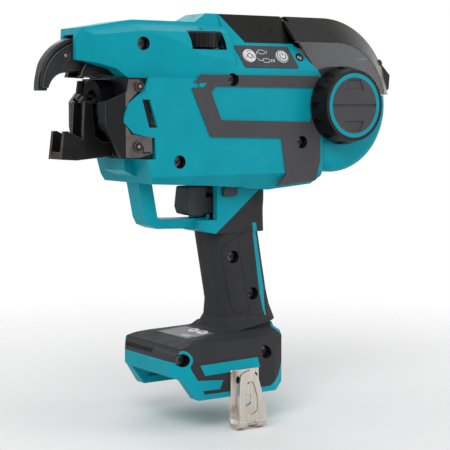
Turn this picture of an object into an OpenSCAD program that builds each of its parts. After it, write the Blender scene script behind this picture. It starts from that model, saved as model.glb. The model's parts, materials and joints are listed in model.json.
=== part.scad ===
// Cordless rebar tying tool: two-part housing, wire reel chamber, wire guides, twister and feed drive.
// +X points to the rear, -Y is the tool's left side, +Z is up. The origin lies on the foot's underside.

/* [Body] */
// Width of the body across its side faces
body_w = 66; // [64:0.5:68]
// Length of the main body, from the front cover to the reel chamber
body_len = 152; // [150:0.5:154]
// Rear end of the main body behind the origin
body_rear = 84; // [83:0.5:86]
// Height of the body's underside
body_bottom = 135; // [133:0.5:137]
// Height of the body from its underside to its roof
body_h = 110; // [109:0.5:112]
// Height of the roof above the control facet's lower edge
facet_h = 36; // [35:0.5:37]
// Wall of the moulded housing
wall = 2.5; // [2:0.1:2.8]

/* [Nose] */
// Reach of the nose in front of the origin
nose_front = 88; // [87:0.5:90]
// Rear end of the nose housing behind the origin
nose_rear = 14; // [13.5:0.5:15]
// Height of the nose housing
nose_h = 42; // [41.5:0.5:43]
// Downward slope of the nose's front roof, in degrees
nose_slope = 9.5; // [7:0.5:11]

/* [Handle] */
// Depth of the handle, front to rear
handle_depth = 38.5; // [37:0.5:40]
// Width of the handle
handle_w = 34; // [33:0.5:36]
// Backward slope of the handle, in degrees
handle_tilt = 10; // [9:0.5:11]
// Handle centre behind the origin
handle_x = 33.5; // [33:0.5:34.5]
// Height of the handle's centre
handle_z = 75; // [74:0.5:76]
// Thickness of the soft grip skin
skin = 2; // [1.5:0.1:2.2]

/* [Foot] */
// Width of the foot
foot_w = 77; // [75:0.5:80]
// Reach of the foot's lip in front of the origin
foot_front = 33.5; // [32.5:0.5:35]
// Reach of the foot behind the origin
foot_rear = 58; // [57:0.5:60]
// Height of the foot up to the handle's root
foot_h = 42; // [41.5:0.5:43.5]
// Width of the battery channel
channel_w = 58; // [57:0.5:59]
// Depth of the battery channel
channel_h = 13; // [12.5:0.5:13.5]

/* [Reel chamber] */
// Reel axis behind the body's rear end
reel_out = 15; // [14:0.5:16]
// Radius of the lower drum
drum_r = 45; // [44:0.5:47]
// Width of the drum
drum_w = 60; // [59:0.5:62]
// Radius of the cover's crest
cover_r = 59; // [58:0.5:60]
// Radius of the ridge where the cover's side meets its sloped rim
ridge_r = 42; // [41:0.5:43]
// Width of the cover's flat crest
crest_w = 26; // [25:0.5:28]
// Height of the joint between drum and cover above the reel axis
split_h = 7; // [6.5:0.5:8]
// Radius of the knob's rear edge
knob_r = 26; // [25:0.5:27]
// Depth of the knob
knob_depth = 14; // [13:0.5:16]

/* [Drive] */
// Depth of the twist axis under the nose
twist_drop = 13; // [12.5:0.5:13.5]
// Gear module
gear_module = 1; // [0.95:0.05:1.05]
// Teeth of the twist gear
gear_teeth = 27; // [26:1:28]
// Teeth of the motor pinion
pinion_teeth = 9; // [8:1:10]
// Outer radius of the motor stator
stator_r = 21; // [20:0.5:21.5]
// Radius of the motor shaft
motor_shaft_r = 2.5; // [2:0.1:2.8]
// Radius of the twist shaft
twist_shaft_r = 4; // [3.5:0.1:4.5]
// Teeth of each feed gear
feed_teeth = 14; // [13:1:15]

/* [Guides] */
// Thickness of the upper guide's middle plate
guide_t = 6; // [5:0.5:7]
// Thickness of each cheek plate
cheek_t = 3.5; // [3:0.5:4]
// Outer radius of the upper guide's curve
guide_r = 29; // [28:0.5:30]
// Inner radius of the upper guide's curve
guide_bore_r = 13.5; // [13:0.5:14.5]
// Sheet thickness of the contact plates
sheet_t = 2; // [1.5:0.1:2.2]
// Width of the lower guide
scoop_w = 17; // [16:0.5:18]

/* [Controls] */
// Width of the trigger
trigger_w = 16; // [15:0.5:17]
// Travel of the trigger
trigger_travel = 5; // [4:0.5:5.5]
// Radius of the torque dial
dial_r = 10.5; // [10:0.25:11]
// Radius of the panel's round buttons
button_r = 4.8; // [4.5:0.1:5.2]

/* [Hidden] */
$fn = 48;

// Shared clearances and overruns
overrun = 1;
reach = 400;
seam = 0.1;
run_gap = 0.05;
move_gap = 0.4;
arc_steps = 6;

// Main levels and places
body_half = body_w / 2;
foot_half = foot_w / 2;
drum_half = drum_w / 2;
body_front = body_rear - body_len;
nose_len = nose_front + nose_rear;
roof_z = body_bottom + body_h;
nose_bottom = roof_z - nose_h;
lower_h = nose_bottom - body_bottom;
shoulder_z = roof_z - facet_h;
reel_x = body_rear + reel_out;
reel_z = roof_z - cover_r;
split_z = reel_z + split_h;
twist_z = nose_bottom - twist_drop;
motor_z = twist_z - gear_module * (gear_teeth + pinion_teeth) / 2;

teal = [0.06, 0.58, 0.65];
dark = [0.28, 0.28, 0.30];
black = [0.13, 0.13, 0.15];
steel = [0.62, 0.62, 0.64];
nickel = [0.78, 0.74, 0.70];
alloy = [0.70, 0.71, 0.72];
pale = [0.90, 0.90, 0.90];
sheet = [0.41, 0.38, 0.37];

// Places shares of a box at its real corner and size
function placed(shares, corner, size) =
    [for (s = shares) [corner[0] + s[0] * size[0], corner[1] + s[1] * size[1]]];

// A half outline followed by its mirror image, about the vertical or the horizontal axis
function mirrored(points) =
    concat(points, [for (i = [len(points) - 1:-1:0]) [-points[i][0], points[i][1]]]);
function folded(points) =
    concat(points, [for (i = [len(points) - 1:-1:0]) [points[i][0], -points[i][1]]]);

// The arc that rounds corner b between its neighbours a and c
edge_share = 0.48;
function corner_arc(a, b, c, r) =
    let (u = (a - b) / norm(a - b), v = (c - b) / norm(c - b))
    let (half = acos(max(-1, min(1, u * v))) / 2)
    let (t = min(r / tan(half), edge_share * min(norm(a - b), norm(c - b))))
    let (rr = t * tan(half), mid = b + (u + v) / norm(u + v) * rr / sin(half))
    let (p = b + u * t - mid, start = atan2(p[1], p[0]), turn = sign(cross(b - a, c - b)))
    [for (i = [0:arc_steps])
        let (w = start + turn * (180 - 2 * half) * i / arc_steps) mid + rr * [cos(w), sin(w)]];

// An outline with every corner rounded to the same radius
function rounded(points, r) =
    let (n = len(points))
    [for (i = [0:n - 1]) each corner_arc(points[(i + n - 1) % n], points[i], points[(i + 1) % n], r)];

// A rectangle from its low and high corners, and one centred on the origin
function rect(low, high) = [low, [high[0], low[1]], high, [low[0], high[1]]];
function box2(w, h) = rect([-w / 2, -h / 2], [w / 2, h / 2]);

// Side outlines run along Y, section outlines along X, plan outlines along Z
module slab(low, high) translate([0, high, 0]) rotate([90, 0, 0]) linear_extrude(high - low) children();
module beam(low, high) translate([low, 0, 0]) rotate([90, 0, 90]) linear_extrude(high - low) children();
module post(low, high) translate([0, 0, low]) linear_extrude(high - low) children();
module pin_y(r, low, high, at) translate([at[0], high, at[1]]) rotate([90, 0, 0]) cylinder(r = r, h = high - low);
module pin_x(r, low, high, z) translate([low, 0, z]) rotate([0, 90, 0]) cylinder(r = r, h = high - low);
module block(low, high) translate(low) cube(high - low);
module inner(d) {
    if (d > 0) offset(delta = -d) children();
    else children();
}
module both_sides() {
    children();
    mirror([0, 1, 0]) children();
}
module half_space(side)
    block([-reach, side < 0 ? -reach : 0, -reach], [reach, side < 0 ? 0 : reach, reach]);

// A spur gear outline with straight-flanked teeth
tooth_top_share = 0.3;
tooth_root_share = 0.56;
addendum_share = 0.8;
dedendum_share = 1.15;
module gear_outline(teeth, turn) {
    pitch_r = gear_module * teeth / 2;
    tip_r = pitch_r + addendum_share * gear_module;
    root_r = pitch_r - dedendum_share * gear_module;
    step = 360 / teeth;
    polygon([for (i = [0:teeth - 1], k = [0:3])
        let (r = (k == 0 || k == 3) ? root_r : tip_r)
        let (share = (k == 0 || k == 3) ? tooth_root_share : tooth_top_share)
        let (w = turn + i * step + (k < 2 ? -1 : 1) * share * step / 2) r * [cos(w), sin(w)]]);
}

// Main body: side outline and cross section
facet_in = 10;
facet_rise = 17.5;
facet_half = body_half - facet_in;
facet_top_z = shoulder_z + facet_rise;
facet_tilt = atan(facet_in / facet_rise);
roof_half = 12.5;
chine_in = 8.5;
chine_low = 5.5;
chine_rise = 7;
slant_run = 18;
slant_drop = 5;
cover_lean = 14;
slant_x = body_rear - slant_run;
slant_z = shoulder_z - slant_drop;
body_front_shares = [
    [0.118, 1], [0.10, 0.9], [0.02, 0.765], [0, 0.605], [0.046, 0.5], [0.145, 0.456], [0.15, 0.265],
    [0.112, 0.265], [0.141, 0.037], [0.447, 0], [0.737, -0.06], [0.96, -0.015], [1, 0.06]
];
body_side = concat(
    placed(body_front_shares, [body_front, body_bottom], [body_len, lower_h]),
    [[body_rear, slant_z], [slant_x, facet_top_z], [nose_rear + cover_lean, facet_top_z],
     [nose_rear, roof_z], [nose_rear, nose_bottom]]);
body_section = mirrored([
    [body_half - chine_in, body_bottom - chine_low], [body_half, body_bottom + chine_rise],
    [body_half, shoulder_z], [facet_half, facet_top_z], [roof_half, roof_z]]);
module body_form(inset = 0) intersection() {
    slab(-body_half, body_half) inner(inset) polygon(body_side);
    beam(body_front - overrun, body_rear + overrun) inner(inset) polygon(body_section);
}

// Nose: side outline, plan, and a crowned section whose front part slopes down
nose_roof_share = 0.857;
slope_start_share = 0.36;
nose_side_shares = [
    [0, 0.26], [0.206, 0.13], [0.275, 0], [1, 0], [1, 1], [0.91, 1], [0.81, nose_roof_share],
    [slope_start_share, nose_roof_share], [0.02, 0.72], [0, 0.60]
];
nose_side = placed(nose_side_shares, [-nose_front, nose_bottom], [nose_len, nose_h]);
nose_plan_shares = [[0, 0.3], [0.07, 0.66], [0.5, 0.82], [0.75, 0.965], [1, 1]];
nose_plan = folded(placed(nose_plan_shares, [-nose_front, 0], [nose_len, body_half]));
nose_section_shares = [
    [1.02, -0.5], [1.02, 0.21], [0.88, 0.55], [0.75, 0.69], [0.47, 0.81], [0.36, 1]
];
nose_section = mirrored(placed(nose_section_shares, [0, nose_bottom], [body_half, nose_h]));
slope_x = -nose_front + slope_start_share * nose_len;
slope_z = nose_bottom + nose_roof_share * nose_h;
module nose_form(inset = 0) intersection() {
    slab(-body_half, body_half) inner(inset) polygon(nose_side);
    post(nose_bottom - overrun, roof_z + overrun) inner(inset) polygon(nose_plan);
    union() {
        beam(slope_x, nose_rear + overrun) inner(inset) polygon(nose_section);
        translate([slope_x, 0, slope_z]) rotate([0, -nose_slope, 0]) translate([0, 0, -slope_z])
            beam(-nose_len, 0) inner(inset) polygon(nose_section);
    }
}

// Lower drum of the reel chamber, turned about the reel axis, with the catch at its back
drum_edge_r = 8;
chamber_half = drum_half - wall;
chamber_r = drum_r - wall;
flange_t = 1.8;
flange_r = 36;
catch_r = 2.6;
catch_w = 12;
catch_out = 6.5;
catch_up = 1.6;
module about_reel() translate([reel_x, 0, reel_z]) rotate([90, 0, 0]) children();
module drum_form() difference() {
    union() {
        about_reel() rotate_extrude() intersection() {
            polygon(rounded(rect([-drum_r, -drum_half], [drum_r, drum_half]), drum_edge_r));
            translate([0, -drum_half]) square([drum_r, drum_w]);
        }
        pin_y(catch_r, -catch_w / 2, catch_w / 2, [reel_x + drum_r + catch_out, reel_z + catch_up]);
        block([reel_x + chamber_r, -catch_w / 2, reel_z + catch_up - catch_r],
            [reel_x + drum_r + catch_out, catch_w / 2, reel_z + catch_up + catch_r]);
    }
    block([-reach, -reach, split_z], [reach, reach, reach]);
    block([-reach, -reach, -reach], [body_rear - wall, reach, reach]);
}
module reel_chamber() {
    pin_y(chamber_r, -chamber_half, chamber_half, [reel_x, reel_z]);
    block([body_rear - 2 * wall, -chamber_half, reel_z], [reel_x + chamber_r, chamber_half, roof_z + overrun]);
}
module reel_flanges() difference() {
    both_sides() pin_y(flange_r, -chamber_half - seam, -chamber_half + flange_t, [reel_x, reel_z]);
    pin_y(spindle_r + run_gap, -reach, chamber_half - wall / 2, [reel_x, reel_z]);
    block([-reach, -reach, -reach], [body_rear + seam, reach, reach]);
}

// Neck, trigger guard and lower front block under the body
neck_side = 0.3;
neck_w = handle_w + 2 * neck_side;
neck_back = 35.5;
neck_drop = 32;
neck_corner = [handle_x - neck_back, body_bottom - neck_drop];
neck_size = [64, 33];
neck_edge_r = 8;
neck_plan_len = 53;
neck_side_shares = [
    [0.19, 1], [0.19, 0.27], [0, 0.27], [0.05, 0.06], [0.17, 0], [0.79, 0], [0.78, 0.2],
    [0.775, 0.45], [0.80, 0.72], [1, 0.93], [1, 1]
];
module neck_form(inset = 0) intersection() {
    slab(-neck_w / 2, neck_w / 2) inner(inset) polygon(placed(neck_side_shares, neck_corner, neck_size));
    post(neck_corner[1] - overrun, roof_z) polygon(rounded(
        rect([neck_corner[0] + inset, -neck_w / 2 + inset],
            [neck_corner[0] + neck_plan_len - inset, neck_w / 2 - inset]), neck_edge_r - inset));
}

guard_w = 15;
guard_in = 22;
guard_drop = 29;
guard_size = [52, 33];
guard_shares = [
    [0.05, 1], [0.14, 0.27], [0.19, 0.12], [0.32, 0.04], [1, 0], [1, 0.2], [0.36, 0.225],
    [0.325, 0.27], [0.24, 1]
];
guard_edge_r = 2.5;
module guard_form() intersection() {
    slab(-guard_w / 2, guard_w / 2)
        polygon(placed(guard_shares, [body_front + guard_in, body_bottom - guard_drop], guard_size));
    beam(body_front, nose_rear) polygon(rounded(
        rect([-guard_w / 2, body_bottom - guard_drop], [guard_w / 2, roof_z]), guard_edge_r));
}

chin_w = 25;
chin_in = 12;
chin_rise = 3;
chin_size = [14, 15];
chin_shares = [[0, 1], [0, 0.5], [0.65, 0.2], [1, 0], [1, 1]];
module chin_form() slab(-chin_w / 2, chin_w / 2)
    polygon(placed(chin_shares, [body_front + chin_in, body_bottom + chin_rise], chin_size));

// Handle: a rounded prism on a sloped axis, with a flared collar at its root
handle_half_len = 44;
handle_corner_r = 12;
collar_front = 8;
collar_side = 5;
collar_slice = 0.2;
collar_level_shares = [-0.34, -0.58, -0.78];
collar_flare_shares = [0, 0.25, 1];
module handle_axis() translate([handle_x, 0, handle_z]) rotate([0, -handle_tilt, 0]) children();
module handle_form(inset = 0) handle_axis() post(-handle_half_len, handle_half_len)
    polygon(rounded(box2(handle_depth - 2 * inset, handle_w - 2 * inset), handle_corner_r - inset));
module collar_ring(k, inset) {
    front = handle_depth / 2 + collar_flare_shares[k] * collar_front - inset;
    side = handle_w / 2 + collar_flare_shares[k] * collar_side - inset;
    translate([0, 0, collar_level_shares[k] * handle_half_len]) linear_extrude(collar_slice)
        polygon(rounded(rect([-front, -side], [handle_depth / 2 - inset, side]), handle_corner_r - inset));
}
module collar_form(inset = 0) handle_axis() for (k = [0, 1]) hull() {
    collar_ring(k, inset);
    collar_ring(k + 1, inset);
}

// Foot: side outline, plan and section
foot_len = foot_front + foot_rear;
foot_size = [foot_len, foot_h];
foot_deck_shares = [[0.2, 0.871], [0.5, 0.91]];
foot_side_shares = concat(
    [[0.17, 0], [0.05, 0.35], [0, 0.38], [0, 0.57], [0.06, 0.79]], foot_deck_shares,
    [[0.56, 1], [0.95, 1], [1, 0.6], [1, 0.2], [0.84, 0]]);
foot_side = placed(foot_side_shares, [-foot_front, 0], foot_size);
foot_plan_shares = [[0, 0.72], [0.05, 0.9], [0.16, 1], [0.82, 1], [0.92, 0.86], [1, 0.5]];
foot_plan = folded(placed(foot_plan_shares, [-foot_front, 0], [foot_len, foot_half]));
foot_section_shares = [[1, -0.1], [1, 0.6], [0.86, 0.83], [0.5, 0.93], [0.42, 1.1]];
foot_section = mirrored(placed(foot_section_shares, [0, 0], [foot_half, foot_h]));
module foot_form(inset = 0) intersection() {
    slab(-foot_half, foot_half) inner(inset) polygon(foot_side);
    post(-overrun, foot_h + overrun) inner(inset) polygon(foot_plan);
    beam(-foot_front - overrun, foot_rear + overrun) inner(inset) polygon(foot_section);
}

// The zones that the soft grip covers, seen from the side
handle_zone_shares = [
    [0.11, 0], [0.172, 0], [0.336, 0.25], [0.716, 0.85], [0.86, 1.1], [1.2, 1.1], [1.2, -2.2], [0.11, -2.2]
];
strip_shares = [
    [0.625, 0.18], [0.672, 0.18], [0.742, -0.64], [0.789, -1.18], [0.773, -1.7], [0.758, -1.7],
    [0.719, -1.18], [0.68, -0.64]
];
foot_zone_shares = [
    [-0.02, 0.585], [0.098, 0.585], [0.126, 0.452], [0.219, 0.081], [0.781, 0.081], [0.874, 0.226],
    [0.934, 0.476], [0.934, 1.2], [-0.02, 1.2]
];
foot_plate_shares = [[0.184, 0.531], [0.669, 0.557], [0.69, 0.395], [0.225, 0.367]];
foot_badge_shares = [[0.158, 0.307], [0.375, 0.271], [0.346, 0.136], [0.184, 0.143]];
screw_ring_r = 6;
hook_ring_r = 5.5;
module handle_zone() slab(-reach, reach) difference() {
    polygon(placed(handle_zone_shares, neck_corner, neck_size));
    polygon(placed(strip_shares, neck_corner, neck_size));
}
module foot_zone() slab(-reach, reach) difference() {
    polygon(placed(foot_zone_shares, [-foot_front, 0], foot_size));
    polygon(placed(foot_plate_shares, [-foot_front, 0], foot_size));
    polygon(placed(foot_badge_shares, [-foot_front, 0], foot_size));
    translate([lip_screw[0], lip_screw[1]]) circle(r = screw_ring_r);
    translate(hook_hole) circle(r = hook_ring_r);
}
module grip_skin() {
    intersection() {
        difference() {
            union() {
                handle_form();
                collar_form();
                neck_form();
            }
            handle_form(skin);
            collar_form(skin);
            neck_form(skin);
            foot_form();
        }
        handle_zone();
    }
    intersection() {
        difference() {
            foot_form();
            foot_form(skin);
            handle_form(skin);
        }
        foot_zone();
    }
}

// Side inlay: a raised frame round the bare plate, with a block at its rear end
inlay_proud = 0.8;
inlay_depth = 1.6;
inlay_shares = [
    [0.36, 0.897], [0.385, 1.035], [0.975, 1.035], [0.985, 0.81], [0.985, 0.21], [0.96, 0.02],
    [0.75, -0.02], [0.80, 0.08], [0.775, 0.437], [0.41, 0.461], [0.385, 0.81]
];
plate_shares = [[0.415, 0.873], [0.435, 0.927], [0.955, 0.922], [0.93, 0.59], [0.465, 0.615]];
module inlay_outline() difference() {
    polygon(placed(inlay_shares, [body_front, body_bottom], [body_len, lower_h]));
    polygon(placed(plate_shares, [body_front, body_bottom], [body_len, lower_h]));
}
module inlay(gap = 0) slab(-body_half - inlay_proud, -body_half + inlay_depth + gap) inlay_outline();

// Screws that join the housing halves: place seen from the left, side face and thread length
screw_shank_r = 2;
screw_head_r = 3.4;
screw_head_h = 2.6;
screw_hole_r = 4;
screw_sink = 4;
boss_r = 4.6;
cross_w = 0.7;
long_screw = 28;
handle_screw_len = 14;
short_screw = 8;
nose_screw_shares = [0.378, 0.5, 0.775];
lower_screw_shares = [0.263, 0.235];
upper_screw_shares = [0.524, 0.99];
rear_screw_shares = [0.884, 0.397];
grip_screw_shares = [[-0.207, 0.31], [0.075, -0.318]];
lip_screw_shares = [0.065, 0.626, 0.91];
heel_screw_shares = [0.746, 0.62, 0.985];
lip_screw = [-foot_front + lip_screw_shares[0] * foot_len, lip_screw_shares[1] * foot_h];
heel_screw = [-foot_front + heel_screw_shares[0] * foot_len, heel_screw_shares[1] * foot_h];
function body_place(s) = [body_front + s[0] * body_len, body_bottom + s[1] * lower_h];
function grip_place(s) =
    let (d = s[0] * handle_depth, u = s[1] * handle_half_len)
    [handle_x + d * cos(handle_tilt) - u * sin(handle_tilt), handle_z + d * sin(handle_tilt) + u * cos(handle_tilt)];
inlay_face = body_half + inlay_proud;
screw_places = [
    concat([-nose_front + nose_screw_shares[0] * nose_len, nose_bottom + nose_screw_shares[1] * nose_h],
        [nose_screw_shares[2] * body_half, long_screw]),
    concat(body_place(lower_screw_shares), [body_half, long_screw]),
    concat(body_place(upper_screw_shares), [inlay_face, short_screw]),
    concat(body_place(rear_screw_shares), [inlay_face, long_screw]),
    concat(grip_place(grip_screw_shares[0]), [handle_w / 2, handle_screw_len]),
    concat(grip_place(grip_screw_shares[1]), [handle_w / 2, handle_screw_len]),
    concat(lip_screw, [lip_screw_shares[2] * foot_half, long_screw]),
    concat(heel_screw, [heel_screw_shares[2] * foot_half, long_screw])
];
function screw_seat(p) = -p[2] + screw_sink;
module screw_at(p) difference() {
    union() {
        pin_y(screw_head_r, screw_seat(p), screw_seat(p) + screw_head_h, p);
        pin_y(screw_shank_r, screw_seat(p), screw_seat(p) + screw_head_h + p[3], p);
    }
    for (w = [45, 135]) translate([p[0], screw_seat(p), p[1]]) rotate([0, w, 0])
        cube([screw_head_r, screw_head_h, cross_w], center = true);
}
module screw_hole(p) {
    pin_y(screw_hole_r, -p[2] - 2 * screw_sink, screw_seat(p) + screw_head_h, p);
    pin_y(screw_shank_r + run_gap, screw_seat(p), screw_seat(p) + screw_head_h + p[3] + seam, p);
}
module screw_boss(p) {
    foot = screw_seat(p) + screw_head_h;
    pin_y(boss_r, foot - screw_sink, min(foot + p[3], -boss_r), p);
    if (foot + p[3] > 0) pin_y(boss_r, boss_r, p[2] - wall, p);
}

// Gear case round the twist gear and the motor pinion
case_front = -26;
case_rear = 2;
case_front_wall = 7;
case_rear_wall = 5;
case_side = 2.2;
case_tip_gap = 0.8;
case_r = gear_module * (gear_teeth / 2 + 1) + case_tip_gap + case_side;
case_low_r = gear_module * (pinion_teeth / 2 + 1) + 2 * case_side;
case_snout_r = 9;
can_front = 8;
module case_outline(r_top, r_low) {
    translate([0, twist_z]) circle(r = r_top);
    translate([0, motor_z]) circle(r = r_low);
    polygon(mirrored([[r_low, motor_z], [r_low, twist_z]]));
}
module case_form(gap = 0) beam(case_front - gap, case_rear + gap) case_outline(case_r + gap, case_low_r + gap);

// Twist motor
can_t = 1.5;
can_end_t = 3;
can_len = 50;
can_r = stator_r + can_t;
can_rear = can_front + can_len;

// Wire feed unit and the wire guide with its cutter die
feed_lead = 2;
feed_under = 19;
feed_x = nose_rear + feed_lead;
feed_z = roof_z - feed_under;
feed_play = 0.15;
feed_y = gear_module * feed_teeth / 2 + feed_play;
feed_motor_r = 11;
feed_motor_h = 22;
feed_plate_t = 2.2;
feed_plate_under = 6.5;
feed_plate_low = feed_z - feed_plate_under;
feed_plate_top = feed_plate_low + feed_plate_t;
feed_plate_half = [13, 22.3];
feed_post_r = 2;
feed_gear_lift = 0.4;
feed_gear_h = 8;
tube_r = 2.4;
tube_bore_r = 1.2;
tube_len = 39;
tube_drop = 10;
tube_start = 10;
cutter_back = 46;
cutter_rise = 12;
cutter_at = [-nose_front + cutter_back, nose_bottom + cutter_rise];
cutter_die_r = 4;
cutter_ring_r = 7;
cutter_w = 8;
cutter_arm_w = 5;
cutter_arm_rise = 1;
cutter_arm_low = nose_bottom + cutter_arm_rise;
cutter_room = 10;
cheek_plate_t = 4;
cutter_room_half = 6;
module tube_axis() translate([feed_x - tube_start, 0, feed_z]) rotate([0, -90 - tube_drop, 0]) children();

// Trigger group in the neck
trigger_ahead = 5.2;
trigger_lift = 11;
trigger_size = [15.7, 19.6];
trigger_corner = [neck_corner[0] - trigger_ahead, neck_corner[1] + trigger_lift];
trigger_rear = trigger_corner[0] + trigger_size[0];
trigger_edge_r = 1.6;
tongue_len = 7.5;
tongue_lift = 1.5;
tongue_h = 11;
tongue_low = trigger_corner[1] + tongue_lift;
tongue_top = tongue_low + tongue_h;
stem_r = 2.4;
stem_len = 7;
stem_z = (tongue_low + tongue_top) / 2;
slide_gap = 0.3;
slot_half = trigger_w / 2 + slide_gap;
slot_gap = 0.7;
slot_low = trigger_corner[1] - slot_gap;
slot_top = trigger_corner[1] + trigger_size[1] + slot_gap;
stop_gap = 0.5;
switch_gap = 8.4;
switch_x = trigger_rear + tongue_len + switch_gap;
switch_size = [16.6, 18, 17];
switch_drop = 5;
switch_low = trigger_corner[1] - switch_drop;
lock_in = 21.5;
lock_under = 4.7;
lock_at = [neck_corner[0] + lock_in, body_bottom - lock_under];
lock_w = 11;
lock_h = 6;
lock_out = 2.6;
lock_travel = 4;
neck_room_half = neck_w / 2 - wall - skin;

// Torque dial in the left of the nose
dial_ahead = 18;
dial_in = 13;
dial_rise = 24;
dial_x = nose_rear - dial_ahead;
dial_y = -body_half + dial_in;
dial_z = nose_bottom + dial_rise;
dial_h = 9;
dial_axle_r = 1.5;
dial_axle_low = 5;
dial_axle_top = 1.8;
dial_rim = 1.2;
dial_side = 2.2;
dial_recess = 5.5;
dial_recess_y = dial_y - dial_recess;
dial_shelf_h = 5.4;
dial_shelf_half = 5;

// Control panel on the left slanted facet
panel_lead = 4;
panel_len = 43;
panel_low = 1.2;
panel_h = 16.5;
panel_t = 1.4;
panel_sink = 0.9;
panel_lean_share = 0.09;
panel_x = nose_rear + panel_lead;
button_h = 2.3;
button_travel = 0.8;
button_row_share = 0.52;
button_shares = [0.22, 0.83];
module on_facet() translate([0, -body_half, shoulder_z]) rotate([90 - facet_tilt, 0, 0]) children();
panel_outline = [
    [panel_x + panel_lean_share * panel_len, panel_low], [panel_x + (1 + panel_lean_share) * panel_len, panel_low],
    [panel_x + panel_len, panel_low + panel_h], [panel_x, panel_low + panel_h]
];
button_places = [for (s = button_shares) [panel_x + s * panel_len, panel_low + button_row_share * panel_h]];
module panel_seat() {
    on_facet() post(-panel_sink - seam, panel_t) offset(delta = seam) polygon(rounded(panel_outline, panel_t));
    for (p = button_places) on_facet() translate([p[0], p[1], -2 * button_h])
        cylinder(r = button_r + move_gap, h = 4 * button_h);
}

// Panel and keys on the foot's deck
deck = placed(foot_deck_shares, [-foot_front, 0], foot_size);
deck_slope = atan((deck[1][1] - deck[0][1]) / (deck[1][0] - deck[0][0]));
foot_panel_in = 1.5;
foot_panel_len = 22;
foot_panel_w = 36;
foot_panel_t = 1.6;
key_r = 4;
key_proud = 0.8;
key_travel = 0.6;
key_shares = [[0.76, 0], [0.76, -0.29]];
display_share = [0.07, -0.42];
display_size = [5.5, 10];
display_t = 1;
display_proud = 0.3;
module on_deck() translate([deck[0][0], 0, deck[0][1]]) rotate([0, -deck_slope, 0])
    translate([foot_panel_in, 0, 0]) children();
key_places = [for (s = key_shares) [s[0] * foot_panel_len, s[1] * foot_panel_w]];
display_at = [display_share[0] * foot_panel_len, display_share[1] * foot_panel_w];
module deck_seat() {
    on_deck() block([-seam, -foot_panel_w / 2 - seam, -foot_panel_t - seam],
        [foot_panel_len + seam, foot_panel_w / 2 + seam, 3 * foot_panel_t]);
    for (p = key_places) on_deck() translate([p[0], p[1], -3 * foot_panel_t])
        cylinder(r = key_r + move_gap, h = 6 * foot_panel_t);
}

// Battery channel with its rails, terminals and controller
channel_rear = 40;
rail_h = 3.4;
rail_w = 2.6;
rail_z = 1.6;
rail_front_share = 0.45;
floor_z = channel_h + wall;
terminal_x = 4;
terminal_len = 30;
terminal_w = 40;
terminal_drop = 4;
terminal_head = 2;
terminal_short = 6;
terminal_top = 24;
blade_t = 1;
blade_len = 16;
blade_in = 6;
blade_low = 2;
blade_root = 2;
blade_pitch = 12;
controller_front = -14;
controller_rear = 26;
controller_w = 44;
controller_h = 7.6;
module battery_channel()
    block([-foot_front - overrun, -channel_w / 2, -overrun], [channel_rear, channel_w / 2, channel_h]);
module terminal_window() block([terminal_x - seam, -terminal_w / 2 - seam, channel_h - overrun],
    [terminal_x + terminal_len + seam, terminal_w / 2 + seam, floor_z + overrun]);
module rails() both_sides() block([-rail_front_share * foot_front, -channel_w / 2 - overrun, rail_z],
    [channel_rear, -channel_w / 2 + rail_w, rail_z + rail_h]);

// Belt hook place on the foot's side
hook_x = 5.5;
hook_w = 22;
hook_hole_z = 10.5;
hook_hole = [hook_x + hook_w / 2, hook_hole_z];
hook_thread_r = 1.65;
hook_hole_d = 8.5;
module hook_seat() pin_y(hook_thread_r, -foot_half - overrun, -foot_half + hook_hole_d, hook_hole);

// Front frame in the body's mouth
frame_in = 6;
frame_depth = 14;
frame_h = 49;
frame_front = body_front + frame_in;
frame_rear = frame_front + frame_depth;
frame_low = nose_bottom - frame_h;
mouth_half = body_half - sheet_t;
mouth_gap = 3;
slot_shares = [[0.0855, 0.804], [0.1217, 0.804], [0.158, 0.551], [0.118, 0.551]];
hood_r = 12;

// Guide base in the nose's underside
base_half = 11;
base_lead = 2;
base_size = [26, 10.2];
base_drop = 0.2;
base_corner = [-nose_front + base_lead, nose_bottom - base_drop];
jaw_half = guide_t / 2 + cheek_t;
jaw_root = 19;
jaw_slot_h = 26;
jaw_rear = -nose_front + jaw_root;
jaw_slot_top = nose_bottom + jaw_slot_h;

// Interior space of the housing
room_low = 24;
wire_gate_half = 10;
wire_gate_h = 9;
module housing_hollow() {
    body_form(wall);
    nose_form(wall);
    handle_form(wall + skin);
    block([trigger_rear, -neck_room_half, switch_low - seam],
        [switch_x + switch_size[0] + seam, neck_room_half, body_bottom + 2 * wall]);
    difference() {
        foot_form(wall + skin);
        block([-reach, -reach, -reach], [reach, reach, floor_z]);
    }
    block([body_front - overrun, -mouth_half, frame_low - seam], [frame_rear + mouth_gap, mouth_half, nose_bottom]);
    case_form(move_gap);
    block([feed_x - feed_plate_half[0] - overrun, -feed_plate_half[1] - slide_gap, feed_z - feed_motor_h - 2 * wall],
        [feed_x + feed_plate_half[0] + overrun, feed_plate_half[1] + slide_gap, feed_plate_top + overrun]);
    block([feed_x - feed_plate_half[0] - overrun, -2 * feed_y - wall, feed_plate_low],
        [feed_x + feed_plate_half[0], 2 * feed_y + wall, feed_plate_top + feed_gear_h + 2 * overrun]);
    reel_chamber();
    block([slant_x - 2 * wall, -wire_gate_half, facet_top_z - wire_gate_h], [body_rear, wire_gate_half, facet_top_z]);
}

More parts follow.
